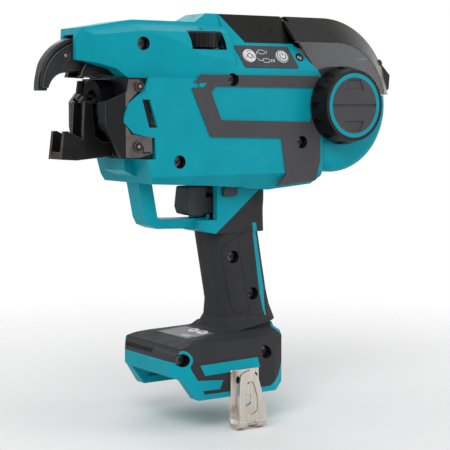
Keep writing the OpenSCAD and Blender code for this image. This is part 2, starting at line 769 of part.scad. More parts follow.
// Openings that other pieces sit in
module trigger_slot() {
    block([trigger_corner[0] - trigger_ahead, -slot_half, slot_low],
        [trigger_rear + trigger_travel + stop_gap, slot_half, slot_top]);
    block([trigger_rear, -slot_half, slot_low],
        [trigger_rear + tongue_len + trigger_travel + stop_gap, slot_half, tongue_top + move_gap]);
}
module lock_slot() slab(-neck_w, neck_w) translate(lock_at)
    polygon(rounded(box2(lock_w + 2 * slide_gap, lock_h + 2 * slide_gap), lock_h / 3));
module dial_seat() {
    block([dial_x - dial_r - dial_side, -reach, dial_z - dial_h / 2 - dial_rim],
        [dial_x + dial_r + dial_side, dial_recess_y, dial_z + dial_h / 2 + dial_rim]);
    translate([dial_x, dial_y, dial_z]) cylinder(r = dial_r + move_gap, h = dial_h + 2 * move_gap, center = true);
    translate([dial_x, dial_y, dial_z]) cylinder(r = dial_axle_r + run_gap, h = 4 * dial_h, center = true);
}
module housing_openings() {
    trigger_slot();
    lock_slot();
    dial_seat();
    block([-nose_front - overrun, -jaw_half - seam, nose_bottom - overrun], [jaw_rear + seam, jaw_half + seam, jaw_slot_top]);
    block([-nose_front - overrun, -base_half - seam, nose_bottom - overrun],
        [base_corner[0] + base_size[0] + seam, base_half + seam, base_corner[1] + base_size[1] + seam]);
    block([cutter_at[0] - cutter_room, -cutter_room_half, nose_bottom - 2 * wall],
        [cutter_at[0] + cutter_room, cutter_room_half, nose_bottom + 2 * wall]);
    battery_channel();
    terminal_window();
    panel_seat();
    deck_seat();
    both_sides() slab(-body_half - overrun, -mouth_half + overrun)
        polygon(placed(slot_shares, [body_front, body_bottom], [body_len, lower_h]));
}

// Ribs that hold the gear case, the motor and the dial
rib_t = 3;
case_rib_in = 2;
can_rib_in = 32;
can_rib_over = 10;
case_rib_x = case_front + case_rib_in;
can_rib_x = can_front + can_rib_in;
can_rib_top = twist_z + can_rib_over;
module ribs() {
    difference() {
        intersection() {
            union() {
                body_form(wall / 2);
                nose_form(wall / 2);
            }
            union() {
                block([case_rib_x, -reach, 0], [case_rib_x + rib_t, reach, reach]);
                block([can_rib_x, -reach, 0], [can_rib_x + rib_t, reach, can_rib_top]);
            }
        }
        case_form(seam);
        pin_x(can_r + seam, can_front, can_rear, motor_z);
        tube_axis() cylinder(r = tube_r + seam, h = tube_len + overrun);
    }
    difference() {
        block([dial_x - dial_shelf_half, -body_half + wall, dial_z - dial_h / 2 - dial_rim - dial_shelf_h],
            [dial_x + dial_shelf_half, dial_y + dial_shelf_half, dial_z - dial_h / 2 - dial_rim]);
        translate([dial_x, dial_y, dial_z]) cylinder(r = dial_axle_r + run_gap, h = 4 * dial_h, center = true);
    }
}

module housing_half(side) difference() {
    union() {
        difference() {
            intersection() {
                union() {
                    body_form();
                    nose_form();
                    drum_form();
                    neck_form();
                    guard_form();
                    chin_form();
                    handle_form();
                    collar_form();
                    foot_form();
                }
                half_space(side);
            }
            intersection() {
                housing_hollow();
                half_space(side);
            }
            housing_openings();
        }
        intersection() {
            union() {
                ribs();
                rails();
                reel_flanges();
                for (p = screw_places) screw_boss(p);
            }
            half_space(side);
        }
    }
    grip_skin();
    both_sides() inlay(seam);
    top_cover_form(seam);
    for (p = screw_places) screw_hole(p);
    pin_y(spindle_r + run_gap, -reach, chamber_half + wall / 2, [reel_x, reel_z]);
    plate_pocket();
    both_sides() hook_seat();
}
module left_housing() color(teal) housing_half(-1);
module right_housing() color(teal) housing_half(1);

module grip_half(side) difference() {
    intersection() {
        grip_skin();
        half_space(side);
    }
    for (p = screw_places) screw_hole(p);
    deck_seat();
    trigger_slot();
    lock_slot();
    battery_channel();
}
module left_grip() color(dark) grip_half(-1);
module right_grip() color(dark) grip_half(1);
module left_inlay() color(dark) difference() {
    inlay();
    for (p = screw_places) screw_hole(p);
}
module right_inlay() color(dark) mirror([0, 1, 0]) inlay();

// Fixed roof over the wire path, with the middle knuckle of the cover's hinge
hinge_pin_r = 1.2;
knuckle_r = 2.6;
knuckle_half = 5.5;
ear_in = 5.9;
ear_out = 12;
hinge_under = 2.8;
hinge_back = 1;
hinge_gap = 0.4;
top_wall = 2;
hinge_at = [slant_x + hinge_back, roof_z - hinge_under];
roof_rear = hinge_at[0] - knuckle_r - 2 * hinge_gap;
top_cover_side = [
    [nose_rear, roof_z], [nose_rear + cover_lean, facet_top_z], [roof_rear, facet_top_z], [roof_rear, roof_z]
];
module top_cover_form(gap = 0) intersection() {
    slab(-body_half, body_half) offset(delta = gap) polygon(top_cover_side);
    beam(-reach, reach) offset(delta = gap) polygon(body_section);
}
module top_cover() color(black) {
    difference() {
        top_cover_form();
        intersection() {
            slab(-body_half, body_half) polygon([
                [nose_rear + top_wall, roof_z - top_wall], [nose_rear + cover_lean + 2 * top_wall, facet_top_z - overrun],
                [roof_rear + overrun, facet_top_z - overrun], [roof_rear + overrun, roof_z - top_wall]]);
            beam(-reach, reach) offset(delta = -top_wall) polygon(body_section);
        }
        translate([feed_x, 0, feed_plate_low])
            cylinder(r = 3 * feed_y, h = feed_gear_h + feed_plate_t + overrun);
    }
    difference() {
        union() {
            pin_y(knuckle_r, -knuckle_half, knuckle_half, hinge_at);
            block([roof_rear - top_wall, -knuckle_half, roof_z - hinge_under - top_wall / 2],
                [hinge_at[0], knuckle_half, roof_z - hinge_under + top_wall]);
        }
        pin_y(hinge_pin_r, -ear_out, ear_out, hinge_at);
    }
}

// Reel cover: a crest and sloped rim turned about the reel axis, straight in front of it
cover_wall = 2.5;
cover_front = roof_rear + hinge_gap;
cover_low = split_z + move_gap;
quarter = 92;
rim_section = [
    [ridge_r, -drum_half], [cover_r, -crest_w / 2], [cover_r, crest_w / 2], [ridge_r, drum_half],
    [ridge_r, drum_half - cover_wall], [cover_r - cover_wall, crest_w / 2 - cover_wall / 2],
    [cover_r - cover_wall, -crest_w / 2 + cover_wall / 2], [ridge_r, -drum_half + cover_wall]
];
module cover_sweep() {
    about_reel() rotate_extrude(angle = quarter) polygon(rim_section);
    translate([0, 0, reel_z]) beam(cover_front, reel_x + seam) rotate(90) polygon(rim_section);
}
latch_w = 20;
latch_pin_r = 1.5;
latch_size = [15.5, 24];
latch_in = 11.5;
latch_ear_r = 3;
latch_rise = 0.8;
latch_corner = [reel_x + cover_r - latch_in, cover_low + latch_rise];
latch_pin_shares = [0.18, 0.87];
latch_pin_at = placed([latch_pin_shares], latch_corner, latch_size)[0];
latch_pin_over = 2.5;
module reel_cover() color(black) difference() {
    union() {
        intersection() {
            difference() {
                cover_sweep();
                block([-reach, -reach, hinge_at[1] - hinge_gap], [hinge_at[0] + hinge_gap, reach, reach]);
                block([-reach, -ear_in, hinge_at[1] - knuckle_r - hinge_gap],
                    [hinge_at[0] + knuckle_r + hinge_gap, ear_in, reach]);
            }
            block([-reach, -reach, cover_low], [reach, reach, reach]);
        }
        both_sides() pin_y(knuckle_r, -ear_out, -ear_in, hinge_at);
        both_sides() block([hinge_at[0], -ear_out, hinge_at[1]],
            [hinge_at[0] + 2 * knuckle_r, -ear_in, hinge_at[1] + knuckle_r]);
        both_sides() pin_y(latch_ear_r, -crest_w / 2, -latch_w / 2 - move_gap, latch_pin_at);
    }
    pin_y(hinge_pin_r + run_gap, -reach, reach, hinge_at);
    pin_y(latch_pin_r, -latch_w / 2 - latch_pin_over, latch_w / 2 + latch_pin_over, latch_pin_at);
    block([latch_corner[0] - wall, -latch_w / 2 - move_gap, cover_low - overrun],
        [reach, latch_w / 2 + move_gap, latch_corner[1] + latch_size[1] + 2 * move_gap]);
}
window_t = 2;
window_gap = 0.5;
module window_outline() intersection() {
    union() {
        translate([reel_x, reel_z]) circle(r = ridge_r - seam);
        translate([cover_front, reel_z]) square([reel_x - cover_front, ridge_r - seam]);
    }
    polygon([
        [cover_front, facet_top_z + window_gap], [slant_x + window_gap, facet_top_z + window_gap],
        [body_rear + window_gap, slant_z + window_gap], [body_rear + window_gap, cover_low],
        [reel_x + ridge_r, cover_low], [reel_x + ridge_r, roof_z], [cover_front, roof_z]]);
}
module cover_windows() color([0.3, 0.32, 0.34, 0.6]) both_sides()
    slab(-drum_half, -drum_half + window_t) window_outline();
module cover_hinge_pin() color(steel) pin_y(hinge_pin_r, -ear_out, ear_out, hinge_at);
latch_shares = [[0.1, 0], [0, 0.35], [0, 1], [0.25, 1], [0.6, 0.8], [1, 0.55], [0.95, 0.15], [0.7, 0]];
module cover_latch() color(black) difference() {
    slab(-latch_w / 2, latch_w / 2) polygon(placed(latch_shares, latch_corner, latch_size));
    pin_y(latch_pin_r + run_gap, -latch_w, latch_w, latch_pin_at);
}
module latch_pin() color(steel)
    pin_y(latch_pin_r, -latch_w / 2 - latch_pin_over, latch_w / 2 + latch_pin_over, latch_pin_at);

// Reel knob on the left, with its spindle through the chamber
spindle_r = 5;
knob_back = -body_half - inlay_proud - move_gap;
knob_neck_r = 12;
knob_neck = -drum_half - move_gap - knob_back;
knob_front_r = 23.5;
knob_teeth = 14;
knob_notch_r = 2.6;
knob_notch_out = 0.8;
knob_rim = 4;
disc_r = 19;
ring_t = 1.6;
ring_sink = 0.6;
knob_dish = 4;
groove_w = 1.8;
groove_d = 0.8;
grip_out_share = 0.72;
grip_half_w = [8, 5];
grip_half_h = 3.4;
module about_knob() translate([reel_x, knob_back, reel_z]) rotate([90, 0, 0]) children();
module reel_knob() color(black) difference() {
    about_knob() rotate_extrude() polygon([
        [spindle_r, -knob_neck], [knob_neck_r, -knob_neck], [knob_neck_r, 0], [knob_r, 0], [knob_r, knob_rim],
        [knob_front_r, knob_depth], [disc_r + ring_t + seam, knob_depth],
        [disc_r + ring_t + seam, knob_depth - knob_dish], [spindle_r, knob_depth - knob_dish]
    ]);
    for (i = [0:knob_teeth - 1]) about_knob() rotate(i * 360 / knob_teeth)
        translate([knob_r + knob_notch_out, 0, knob_rim / 2]) cylinder(r = knob_notch_r, h = knob_depth);
}
module knob_ring() color(teal) about_knob() rotate_extrude()
    translate([disc_r + seam / 2, knob_depth - knob_dish + seam]) square([ring_t, knob_dish - ring_sink]);
module knob_disc() color(dark) difference() {
    about_knob() translate([0, 0, knob_depth - knob_dish + seam]) cylinder(r = disc_r, h = knob_dish - seam);
    about_knob() translate([-disc_r, -groove_w / 2, knob_depth - groove_d]) cube([2 * disc_r, groove_w, 2 * groove_d]);
    for (s = [-1, 1]) about_knob() translate([0, s * grip_out_share * disc_r, knob_depth - groove_d])
        linear_extrude(2 * groove_d) polygon(mirrored([[grip_half_w[0], -s * grip_half_h], [grip_half_w[1], s * grip_half_h]]));
}
module reel_spindle() color(steel)
    pin_y(spindle_r, knob_back - knob_depth + knob_dish, chamber_half + wall / 2 - seam, [reel_x, reel_z]);
hub_r = 11;
hub_flange_r = 16;
hub_flange_t = 3;
hub_gap = 0.6;
hub_key_w = 3;
hub_key_out = 2;
hub_key_in = 6;
hub_half = chamber_half - flange_t - hub_gap;
module reel_hub() color(black) difference() {
    union() {
        pin_y(hub_r, -hub_half, hub_half, [reel_x, reel_z]);
        pin_y(hub_flange_r, hub_half - hub_flange_t, hub_half, [reel_x, reel_z]);
        for (i = [0:2]) translate([reel_x, 0, reel_z]) rotate([0, 120 * i, 0])
            block([hub_r - hub_key_out, -hub_half + hub_key_in, -hub_key_w / 2],
                [hub_r + hub_key_out, hub_half - hub_key_in, hub_key_w / 2]);
    }
    pin_y(spindle_r + run_gap, -drum_w, drum_w, [reel_x, reel_z]);
}

// Panel, buttons and dial
module control_panel() color([0.55, 0.57, 0.6]) difference() {
    on_facet() post(-panel_sink, panel_t - panel_sink) polygon(rounded(panel_outline, panel_t));
    for (p = button_places) on_facet() translate([p[0], p[1], -button_h])
        cylinder(r = button_r + move_gap, h = 3 * button_h);
}
module panel_button(p) on_facet() translate([p[0], p[1], -panel_sink]) cylinder(r = button_r, h = button_h);
module mode_button() color(pale) panel_button(button_places[0]);
module power_button() color(pale) panel_button(button_places[1]);
dial_teeth = 22;
dial_notch_r = 0.9;
module torque_dial() color(black) translate([dial_x, dial_y, dial_z]) union() {
    difference() {
        cylinder(r = dial_r, h = dial_h, center = true);
        for (i = [0:dial_teeth - 1]) rotate(i * 360 / dial_teeth) translate([dial_r + dial_notch_r / 3, 0, 0])
            cylinder(r = dial_notch_r, h = 2 * dial_h, center = true);
    }
    translate([0, 0, -dial_h / 2 - dial_axle_low]) cylinder(r = dial_axle_r, h = dial_h + dial_axle_low + dial_axle_top);
}

// Trigger, switch and lock button
trigger_shares = [[0.1, 1], [0, 0.32], [0.1, 0.08], [0.5, 0], [0.8, 0], [0.92, 0.12], [1, 1]];
switch_hole_d = 6;
lock_sink = 1.4;
module trigger() color(dark) {
    slab(-trigger_w / 2, trigger_w / 2)
        polygon(rounded(placed(trigger_shares, trigger_corner, trigger_size), trigger_edge_r));
    block([trigger_rear - trigger_size[0] / 2, -trigger_w / 2, tongue_low],
        [trigger_rear + tongue_len, trigger_w / 2, tongue_top]);
    pin_x(stem_r, trigger_rear + tongue_len - overrun, trigger_rear + tongue_len + stem_len, stem_z);
}
module switch_unit() color(black) difference() {
    block([switch_x, -switch_size[1] / 2, switch_low],
        [switch_x + switch_size[0], switch_size[1] / 2, switch_low + switch_size[2]]);
    pin_x(stem_r + move_gap, switch_x - overrun, switch_x + switch_hole_d, stem_z);
}
module lock_button() color(black) slab(-neck_w / 2 - lock_out, neck_w / 2 - lock_sink) translate(lock_at)
    polygon(rounded(box2(lock_w, lock_h), lock_h / 3));

// Foot panel, keys, controller and terminals
module display_form(gap = 0) on_deck()
    block([display_at[0] - gap, display_at[1] - gap, -display_t - gap],
        [display_at[0] + display_size[0] + gap, display_at[1] + display_size[1] + gap, display_proud]);
module foot_panel() color([0.45, 0.46, 0.48]) difference() {
    on_deck() block([0, -foot_panel_w / 2, -foot_panel_t], [foot_panel_len, foot_panel_w / 2, 0]);
    for (p = key_places) on_deck() translate([p[0], p[1], -3 * foot_panel_t])
        cylinder(r = key_r + move_gap, h = 6 * foot_panel_t);
    display_form(seam / 2);
}
module display_window() color([0.6, 0.68, 0.72]) display_form();
module foot_key(p) on_deck() translate([p[0], p[1], -foot_panel_t]) cylinder(r = key_r, h = foot_panel_t + key_proud);
module up_button() color(pale) foot_key(key_places[0]);
module down_button() color(pale) foot_key(key_places[1]);
module controller() color(steel) block([controller_front, -controller_w / 2, terminal_top + seam],
    [controller_rear, controller_w / 2, terminal_top + seam + controller_h]);
blade_places = [-blade_pitch, 0, blade_pitch];
module blade(y, gap = 0) block([terminal_x + blade_in - gap, y - blade_t / 2 - gap, blade_low],
    [terminal_x + blade_in + blade_len + gap, y + blade_t / 2 + gap, channel_h + blade_root + gap]);
module terminal_block() color(black) difference() {
    union() {
        block([terminal_x, -terminal_w / 2, channel_h - terminal_drop],
            [terminal_x + terminal_len, terminal_w / 2, floor_z + 2 * seam]);
        block([terminal_x - terminal_head, -terminal_w / 2 - terminal_head, floor_z + seam],
            [terminal_x + terminal_len - terminal_short, terminal_w / 2 + terminal_head, terminal_top]);
    }
    for (y = blade_places) blade(y, seam / 5);
}
module terminal_blades() color([0.75, 0.6, 0.3]) for (y = blade_places) blade(y);

// Belt hook: a folded sheet on the left of the foot, with its screw
hook_t = 1.6;
hook_gap = 11.5;
hook_top = 17;
hook_low = -20;
hook_tail = 2;
hook_tab_rise = 4;
hook_bend_r = hook_gap / 2 + hook_t;
hook_bend_z = hook_low + hook_bend_r;
hook_back = -foot_half - hook_t;
hook_front_shares = [
    [0.28, 1], [0.02, 0.93], [-0.08, 0.7], [-0.06, 0], [0.18, 0], [0.28, 0.18], [0.52, 0.03], [0.84, 0.03],
    [0.92, 0.15], [0.66, 0.86]
];
hook_slot_shares = [[0.34, 0.81], [0.42, 0.3]];
hook_slot_r = [2.6, 3.4];
module hook_outline() polygon(placed(hook_front_shares, [hook_x, hook_low], [hook_w, hook_top - hook_low]));
module hook_bend() translate([0, hook_back - hook_gap / 2, 0]) difference() {
    pin_x(hook_bend_r, hook_x - hook_tail, hook_x + hook_w, hook_bend_z);
    pin_x(hook_bend_r - hook_t, hook_x - 2 * hook_tail, hook_x + hook_w + overrun, hook_bend_z);
    block([-reach, -reach, hook_bend_z], [reach, reach, reach]);
}
module belt_hook() color(nickel) {
    slots = placed(hook_slot_shares, [hook_x, hook_low], [hook_w, hook_top - hook_low]);
    difference() {
        block([hook_x, hook_back, hook_bend_z], [hook_x + hook_w, -foot_half, hook_top]);
        pin_y(hook_screw_r + seam, -reach, reach, hook_hole);
    }
    intersection() {
        hook_bend();
        slab(-reach, reach) union() {
            hook_outline();
            translate([hook_x, hook_low + hook_tab_rise]) square([hook_w, hook_bend_r]);
        }
    }
    difference() {
        slab(hook_back - hook_gap - hook_t, hook_back - hook_gap) difference() {
            hook_outline();
            hull() {
                translate(slots[0]) circle(r = hook_slot_r[0]);
                translate(slots[1]) circle(r = hook_slot_r[1]);
            }
        }
        block([-reach, -reach, -reach], [reach, reach, hook_bend_z]);
    }
}
hook_screw_r = 1.6;
hook_head_r = 3.2;
hook_head_h = 2.2;
hook_screw_len = 8;
module hook_screw() color(steel) {
    pin_y(hook_screw_r, hook_back, -foot_half + hook_screw_len, hook_hole);
    pin_y(hook_head_r, hook_back - hook_head_h, hook_back, hook_hole);
}
module housing_screws() color(black) for (p = screw_places) screw_at(p);

// Front frame and contact plates
frame_mouth_half = 15;
frame_recess = 8;
frame_sill = 5;
frame_notch_h = 12;
scoop_side_gap = 0.7;
guide_pin_r = 2.5;
scoop_pin_end = 3;
scoop_pin_in = 3;
scoop_pin_rise = 5;
scoop_pin = [frame_front + scoop_pin_in, frame_low + scoop_pin_rise];
plate_screw_r = 1.6;
plate_screw_len = 8;
plate_screw_gap = 0.15;
plate_head_r = 3;
plate_head_h = 1.8;
plate_screw_top = [4.5, 5.5];
plate_screw_low = [3.5, 7];
plate_screw_places = [
    [frame_front + plate_screw_top[0], nose_bottom - plate_screw_top[1]],
    [frame_front + plate_screw_low[0], frame_low + plate_screw_low[1]]
];
module front_frame() color(black) difference() {
    block([frame_front, -mouth_half + seam, frame_low], [frame_rear, mouth_half - seam, nose_bottom - seam]);
    pin_x(hood_r + seam / 5, frame_front - overrun, frame_rear + overrun, twist_z);
    block([frame_front - overrun, -frame_mouth_half, frame_low + frame_sill],
        [frame_front + frame_recess, frame_mouth_half, twist_z - hood_r]);
    block([frame_front - overrun, -scoop_w / 2 - scoop_side_gap, frame_low - overrun],
        [frame_front + frame_recess, scoop_w / 2 + scoop_side_gap, frame_low + frame_notch_h]);
    pin_y(guide_pin_r, -frame_mouth_half - scoop_pin_end, frame_mouth_half + scoop_pin_end, scoop_pin);
    both_sides() for (p = plate_screw_places) pin_y(plate_screw_r, -reach, -mouth_half + plate_screw_len + seam, p);
}
plate_shares_side = [
    [0.44, 1], [0.70, 1], [0.74, 0.89], [0.45, 0.72], [0.34, 0.6], [0.34, 0.44], [0.5, 0.3], [1, 0.26],
    [1, 0.05], [0.7, 0], [0.3, 0], [0.04, 0.44], [0.03, 0.7], [0.4, 0.84]
];
plate_ahead = 15.5;
plate_rise = 0.3;
plate_corner = [frame_front - plate_ahead, frame_low + plate_rise];
plate_size = [29.5, 47.5];
plate_bend_in = 11;
plate_flare_in = 2;
plate_lip_in = 0.2;
plate_flare_turn = 9;
plate_lip_turn = 17;
plate_end = 0.3;
plate_rear = plate_corner[0] + plate_size[0];
plate_bend = plate_corner[0] + plate_bend_in;
plate_flare = plate_corner[0] + plate_flare_in;
plate_lip = plate_corner[0] + plate_lip_in;
plate_skew_shares = [1.05, 0.6, 0.4];
plate_path = [
    [plate_rear, -body_half], [plate_bend, -body_half], [plate_flare, -body_half + plate_flare_turn],
    [plate_lip, -body_half + plate_lip_turn], [plate_lip + sheet_t, -body_half + plate_lip_turn + plate_end],
    [plate_flare + plate_skew_shares[0] * sheet_t, -body_half + plate_flare_turn + plate_skew_shares[1] * sheet_t],
    [plate_bend + plate_skew_shares[2] * sheet_t, -body_half + sheet_t], [plate_rear, -body_half + sheet_t]
];
module plate_outline() polygon(placed(plate_shares_side, plate_corner, plate_size));
module contact_plate() difference() {
    intersection() {
        post(frame_low - overrun, nose_bottom) polygon(plate_path);
        slab(-reach, reach) plate_outline();
    }
    for (p = plate_screw_places) pin_y(plate_screw_r + plate_screw_gap, -reach, 0, p);
}
module plate_pocket() both_sides() slab(-body_half - overrun, -mouth_half) offset(delta = seam) plate_outline();
module left_plate() color(sheet) contact_plate();
module right_plate() color(sheet) mirror([0, 1, 0]) contact_plate();
module plate_screws() color(steel) both_sides() for (p = plate_screw_places) {
    pin_y(plate_head_r, -body_half - plate_head_h, -body_half, p);
    pin_y(plate_screw_r, -body_half, -mouth_half + plate_screw_len, p);
}

// Upper guide: a curved jaw made of a middle plate between two cheeks
jaw_in = 7;
jaw_drop = 6;
bore_out = 3;
bore_drop = 10.5;
jaw_low_drop = 8;
root_rise = 4;
root_lift = 11.5;
jaw_at = [-nose_front + jaw_in, nose_bottom - jaw_drop];
bore_at = [-nose_front - bore_out, nose_bottom - bore_drop];
jaw_low = nose_bottom - jaw_low_drop;
root_low = nose_bottom + root_rise;
pin_front = [4.8, 13];
pin_rear = [12.5, 16];
guide_pin_places = [
    [-nose_front - pin_front[0], nose_bottom + pin_front[1]], [-nose_front + pin_rear[0], nose_bottom + pin_rear[1]]
];
groove_r = 1.4;
cheek_step = 1.6;
module jaw_outline(shrink) difference() {
    union() {
        translate(jaw_at) circle(r = guide_r - shrink);
        translate([jaw_at[0], root_low]) square([jaw_rear - jaw_at[0], jaw_at[1] + guide_r - shrink - root_low]);
    }
    translate(bore_at) circle(r = guide_bore_r + shrink / 2);
    translate([jaw_at[0] - reach, jaw_low - reach + shrink]) square([2 * reach, reach]);
    translate([bore_at[0], jaw_low - reach]) square([reach, reach + root_lift + shrink / 2]);
    translate([jaw_rear, 0]) square([reach, reach]);
}
module upper_guide() color(black) difference() {
    slab(-guide_t / 2, guide_t / 2) jaw_outline(0);
    translate([bore_at[0], 0, bore_at[1]]) rotate([90, 0, 0]) rotate_extrude()
        translate([guide_bore_r, 0]) circle(r = groove_r);
    for (p = guide_pin_places) pin_y(guide_pin_r, -guide_t, guide_t, p);
}
module guide_cheeks() color(black) both_sides() difference() {
    slab(-jaw_half, -guide_t / 2) jaw_outline(cheek_step);
    for (p = guide_pin_places) pin_y(guide_pin_r, -guide_t - cheek_t, 0, p);
}
module guide_pins() color(steel) for (p = guide_pin_places) pin_y(guide_pin_r, -jaw_half, jaw_half, p);
base_shares = [[0.02, 0.05], [0.48, 0], [0.53, 0.16], [0.96, 0.12], [1, 0.65], [0.8, 1], [0.2, 1], [0.08, 0.5]];
module guide_base() color(black) difference() {
    slab(-base_half, base_half) polygon(placed(base_shares, base_corner, base_size));
    block([-reach, -jaw_half - seam, 0], [jaw_rear + seam, jaw_half + seam, reach]);
}

// Lower guide: a hinged scoop with two uprights
scoop_shares = [
    [0, 0.02], [0.06, 0.5], [0.14, 0.5], [0.42, 0.36], [0.46, 1], [0.6, 0.98], [0.66, 0.4], [0.8, 0.3],
    [1, 0.3], [1, 0.06], [0.3, 0.0]
];
scoop_floor_shares = [[0, 0.02], [0.04, 0.14], [0.3, 0.12], [0.7, 0.2], [1, 0.28], [1, 0.06], [0.3, 0]];
scoop_size = [36, 36];
scoop_drop = 1.6;
scoop_corner = [frame_front - scoop_size[0], frame_low - scoop_drop];
scoop_wall = 2.6;
scoop_boss_r = 4.4;
module lower_guide() color(black) difference() {
    union() {
        both_sides() slab(-scoop_w / 2, -scoop_w / 2 + scoop_wall)
            polygon(placed(scoop_shares, scoop_corner, scoop_size));
        slab(-scoop_w / 2 + scoop_wall / 2, scoop_w / 2 - scoop_wall / 2)
            polygon(placed(scoop_floor_shares, scoop_corner, scoop_size));
        pin_y(scoop_boss_r, -scoop_w / 2, scoop_w / 2, scoop_pin);
    }
    pin_y(guide_pin_r + run_gap, -scoop_w, scoop_w, scoop_pin);
}
module lower_guide_pin() color(steel)
    pin_y(guide_pin_r, -frame_mouth_half - scoop_pin_end + seam, frame_mouth_half + scoop_pin_end - seam, scoop_pin);

// Twister: hood, sleeve with two hooks, shaft, gear and gear case
hood_out = 10;
hood_front = frame_front - hood_out;
hood_lip = 2.4;
hood_bore_r = 8.6;
hood_mouth_r = 5.6;
hood_slot = 9;
sleeve_r = 8;
sleeve_in = 4;
sleeve_front = hood_front + sleeve_in;
sleeve_rear = case_front - sleeve_in;
shaft_in = 2;
shaft_short = 1;
press_gap = 0.02;
hook_len = 14;
hook_half = 3;
prong_in = 0.6;
prong_out = 4.4;
prong_shares = [
    [0, -1], [0, 1], [0.85, 0.95], [1, 0.3], [0.85, -0.55], [0.71, -0.45], [0.75, 0.17], [0.64, 0.33],
    [0.14, 0.17], [0.12, -1]
];
module twister_hood() color(black) difference() {
    pin_x(hood_r, hood_front, frame_rear, twist_z);
    pin_x(hood_bore_r, hood_front + hood_lip, frame_rear + overrun, twist_z);
    pin_x(hood_mouth_r, hood_front - overrun, hood_front + 2 * hood_lip, twist_z);
    block([hood_front - overrun, -hood_mouth_r, twist_z - hood_r - overrun], [hood_front + hood_slot, hood_mouth_r, twist_z]);
}
module twist_sleeve() color(steel) difference() {
    pin_x(sleeve_r, sleeve_front, sleeve_rear, twist_z);
    pin_x(twist_shaft_r + press_gap, sleeve_front - overrun, sleeve_rear + overrun, twist_z);
}
module twist_hooks() color(steel) for (w = [0, 180]) translate([sleeve_front, 0, twist_z]) rotate([w, 0, 0])
    slab(prong_in, prong_out) polygon(placed(prong_shares, [0, 0], [-hook_len, hook_half]));
module twist_shaft() color(steel) pin_x(twist_shaft_r, sleeve_front + shaft_in, case_rear - shaft_short, twist_z);
gear_in = 11.5;
gear_w = 7;
gear_front = case_front + gear_in;
module twist_gear() color(steel) translate([gear_front, 0, twist_z]) rotate([90, 0, 90]) difference() {
    linear_extrude(gear_w) gear_outline(gear_teeth, -90);
    translate([0, 0, -overrun]) cylinder(r = twist_shaft_r + press_gap, h = 2 * gear_w);
}
case_neck_r = 9;
case_low_side = 3.5;
shaft_end = 3;
module gear_case() color(alloy) difference() {
    union() {
        case_form();
        pin_x(case_neck_r, case_rear - overrun, can_front, motor_z);
    }
    beam(case_front + case_front_wall, case_rear - case_rear_wall)
        case_outline(case_r - case_side, case_low_r - case_low_side);
    pin_x(twist_shaft_r + run_gap, case_front - overrun, case_rear + overrun, twist_z);
    pin_x(motor_shaft_r + run_gap, case_front + shaft_end, can_front + overrun, motor_z);
}

// Twist motor
vent_count = 6;
vent_in = 8;
vent_out = 17;
vent_half = 3;
module motor_can() color(black) difference() {
    pin_x(can_r, can_front + seam / 5, can_rear, motor_z);
    pin_x(stator_r + press_gap, can_front + can_end_t, can_rear - can_end_t, motor_z);
    pin_x(motor_shaft_r + run_gap, can_front - overrun, can_rear + overrun, motor_z);
    for (i = [0:vent_count - 1]) translate([0, 0, motor_z]) rotate([360 / vent_count * i, 0, 0])
        block([can_rear - 2 * can_end_t, vent_in, -vent_half], [can_rear + overrun, vent_out, vent_half]);
}
stator_in = 5;
stator_len = 28;
stator_front = can_front + stator_in;
stator_rear = stator_front + stator_len;
rotor_r = 11.4;
air_gap = 0.5;
stator_slots = 6;
slot_in = 2;
slot_size = [4.6, 6.8];
module motor_stator() color([0.5, 0.35, 0.25]) beam(stator_front, stator_rear) translate([0, motor_z]) difference() {
    circle(r = stator_r);
    circle(r = rotor_r + air_gap);
    for (i = [0:stator_slots - 1]) rotate(360 / stator_slots * i)
        translate([rotor_r + air_gap + slot_in, -slot_size[1] / 2]) square(slot_size);
}
module motor_rotor() color(steel) difference() {
    pin_x(rotor_r, stator_front, stator_rear, motor_z);
    pin_x(motor_shaft_r + press_gap, stator_front - overrun, stator_rear + overrun, motor_z);
}
pinion_over = 0.5;
module motor_shaft() color(steel) {
    pin_x(motor_shaft_r, case_front + shaft_end + seam, can_rear - move_gap, motor_z);
    translate([gear_front - pinion_over, 0, motor_z]) rotate([90, 0, 90]) linear_extrude(gear_w + 2 * pinion_over)
        gear_outline(pinion_teeth, 90 + 180 / pinion_teeth);
}
fan_r = 19;
fan_in = 37;
fan_w = 7;
fan_front = can_front + fan_in;
fan_disc_t = 1.6;
fan_hub_r = 6;
fan_blades = 9;
fan_blade_t = 1.4;
module motor_fan() color(black) difference() {
    union() {
        pin_x(fan_hub_r, fan_front, fan_front + fan_w, motor_z);
        pin_x(fan_r, fan_front, fan_front + fan_disc_t, motor_z);
        for (i = [0:fan_blades - 1]) translate([0, 0, motor_z]) rotate([360 / fan_blades * i, 0, 0])
            block([fan_front, fan_hub_r - overrun, -fan_blade_t / 2], [fan_front + fan_w, fan_r - move_gap, fan_blade_t / 2]);
    }
    pin_x(motor_shaft_r + press_gap, fan_front - overrun, fan_front + fan_w + overrun, motor_z);
}

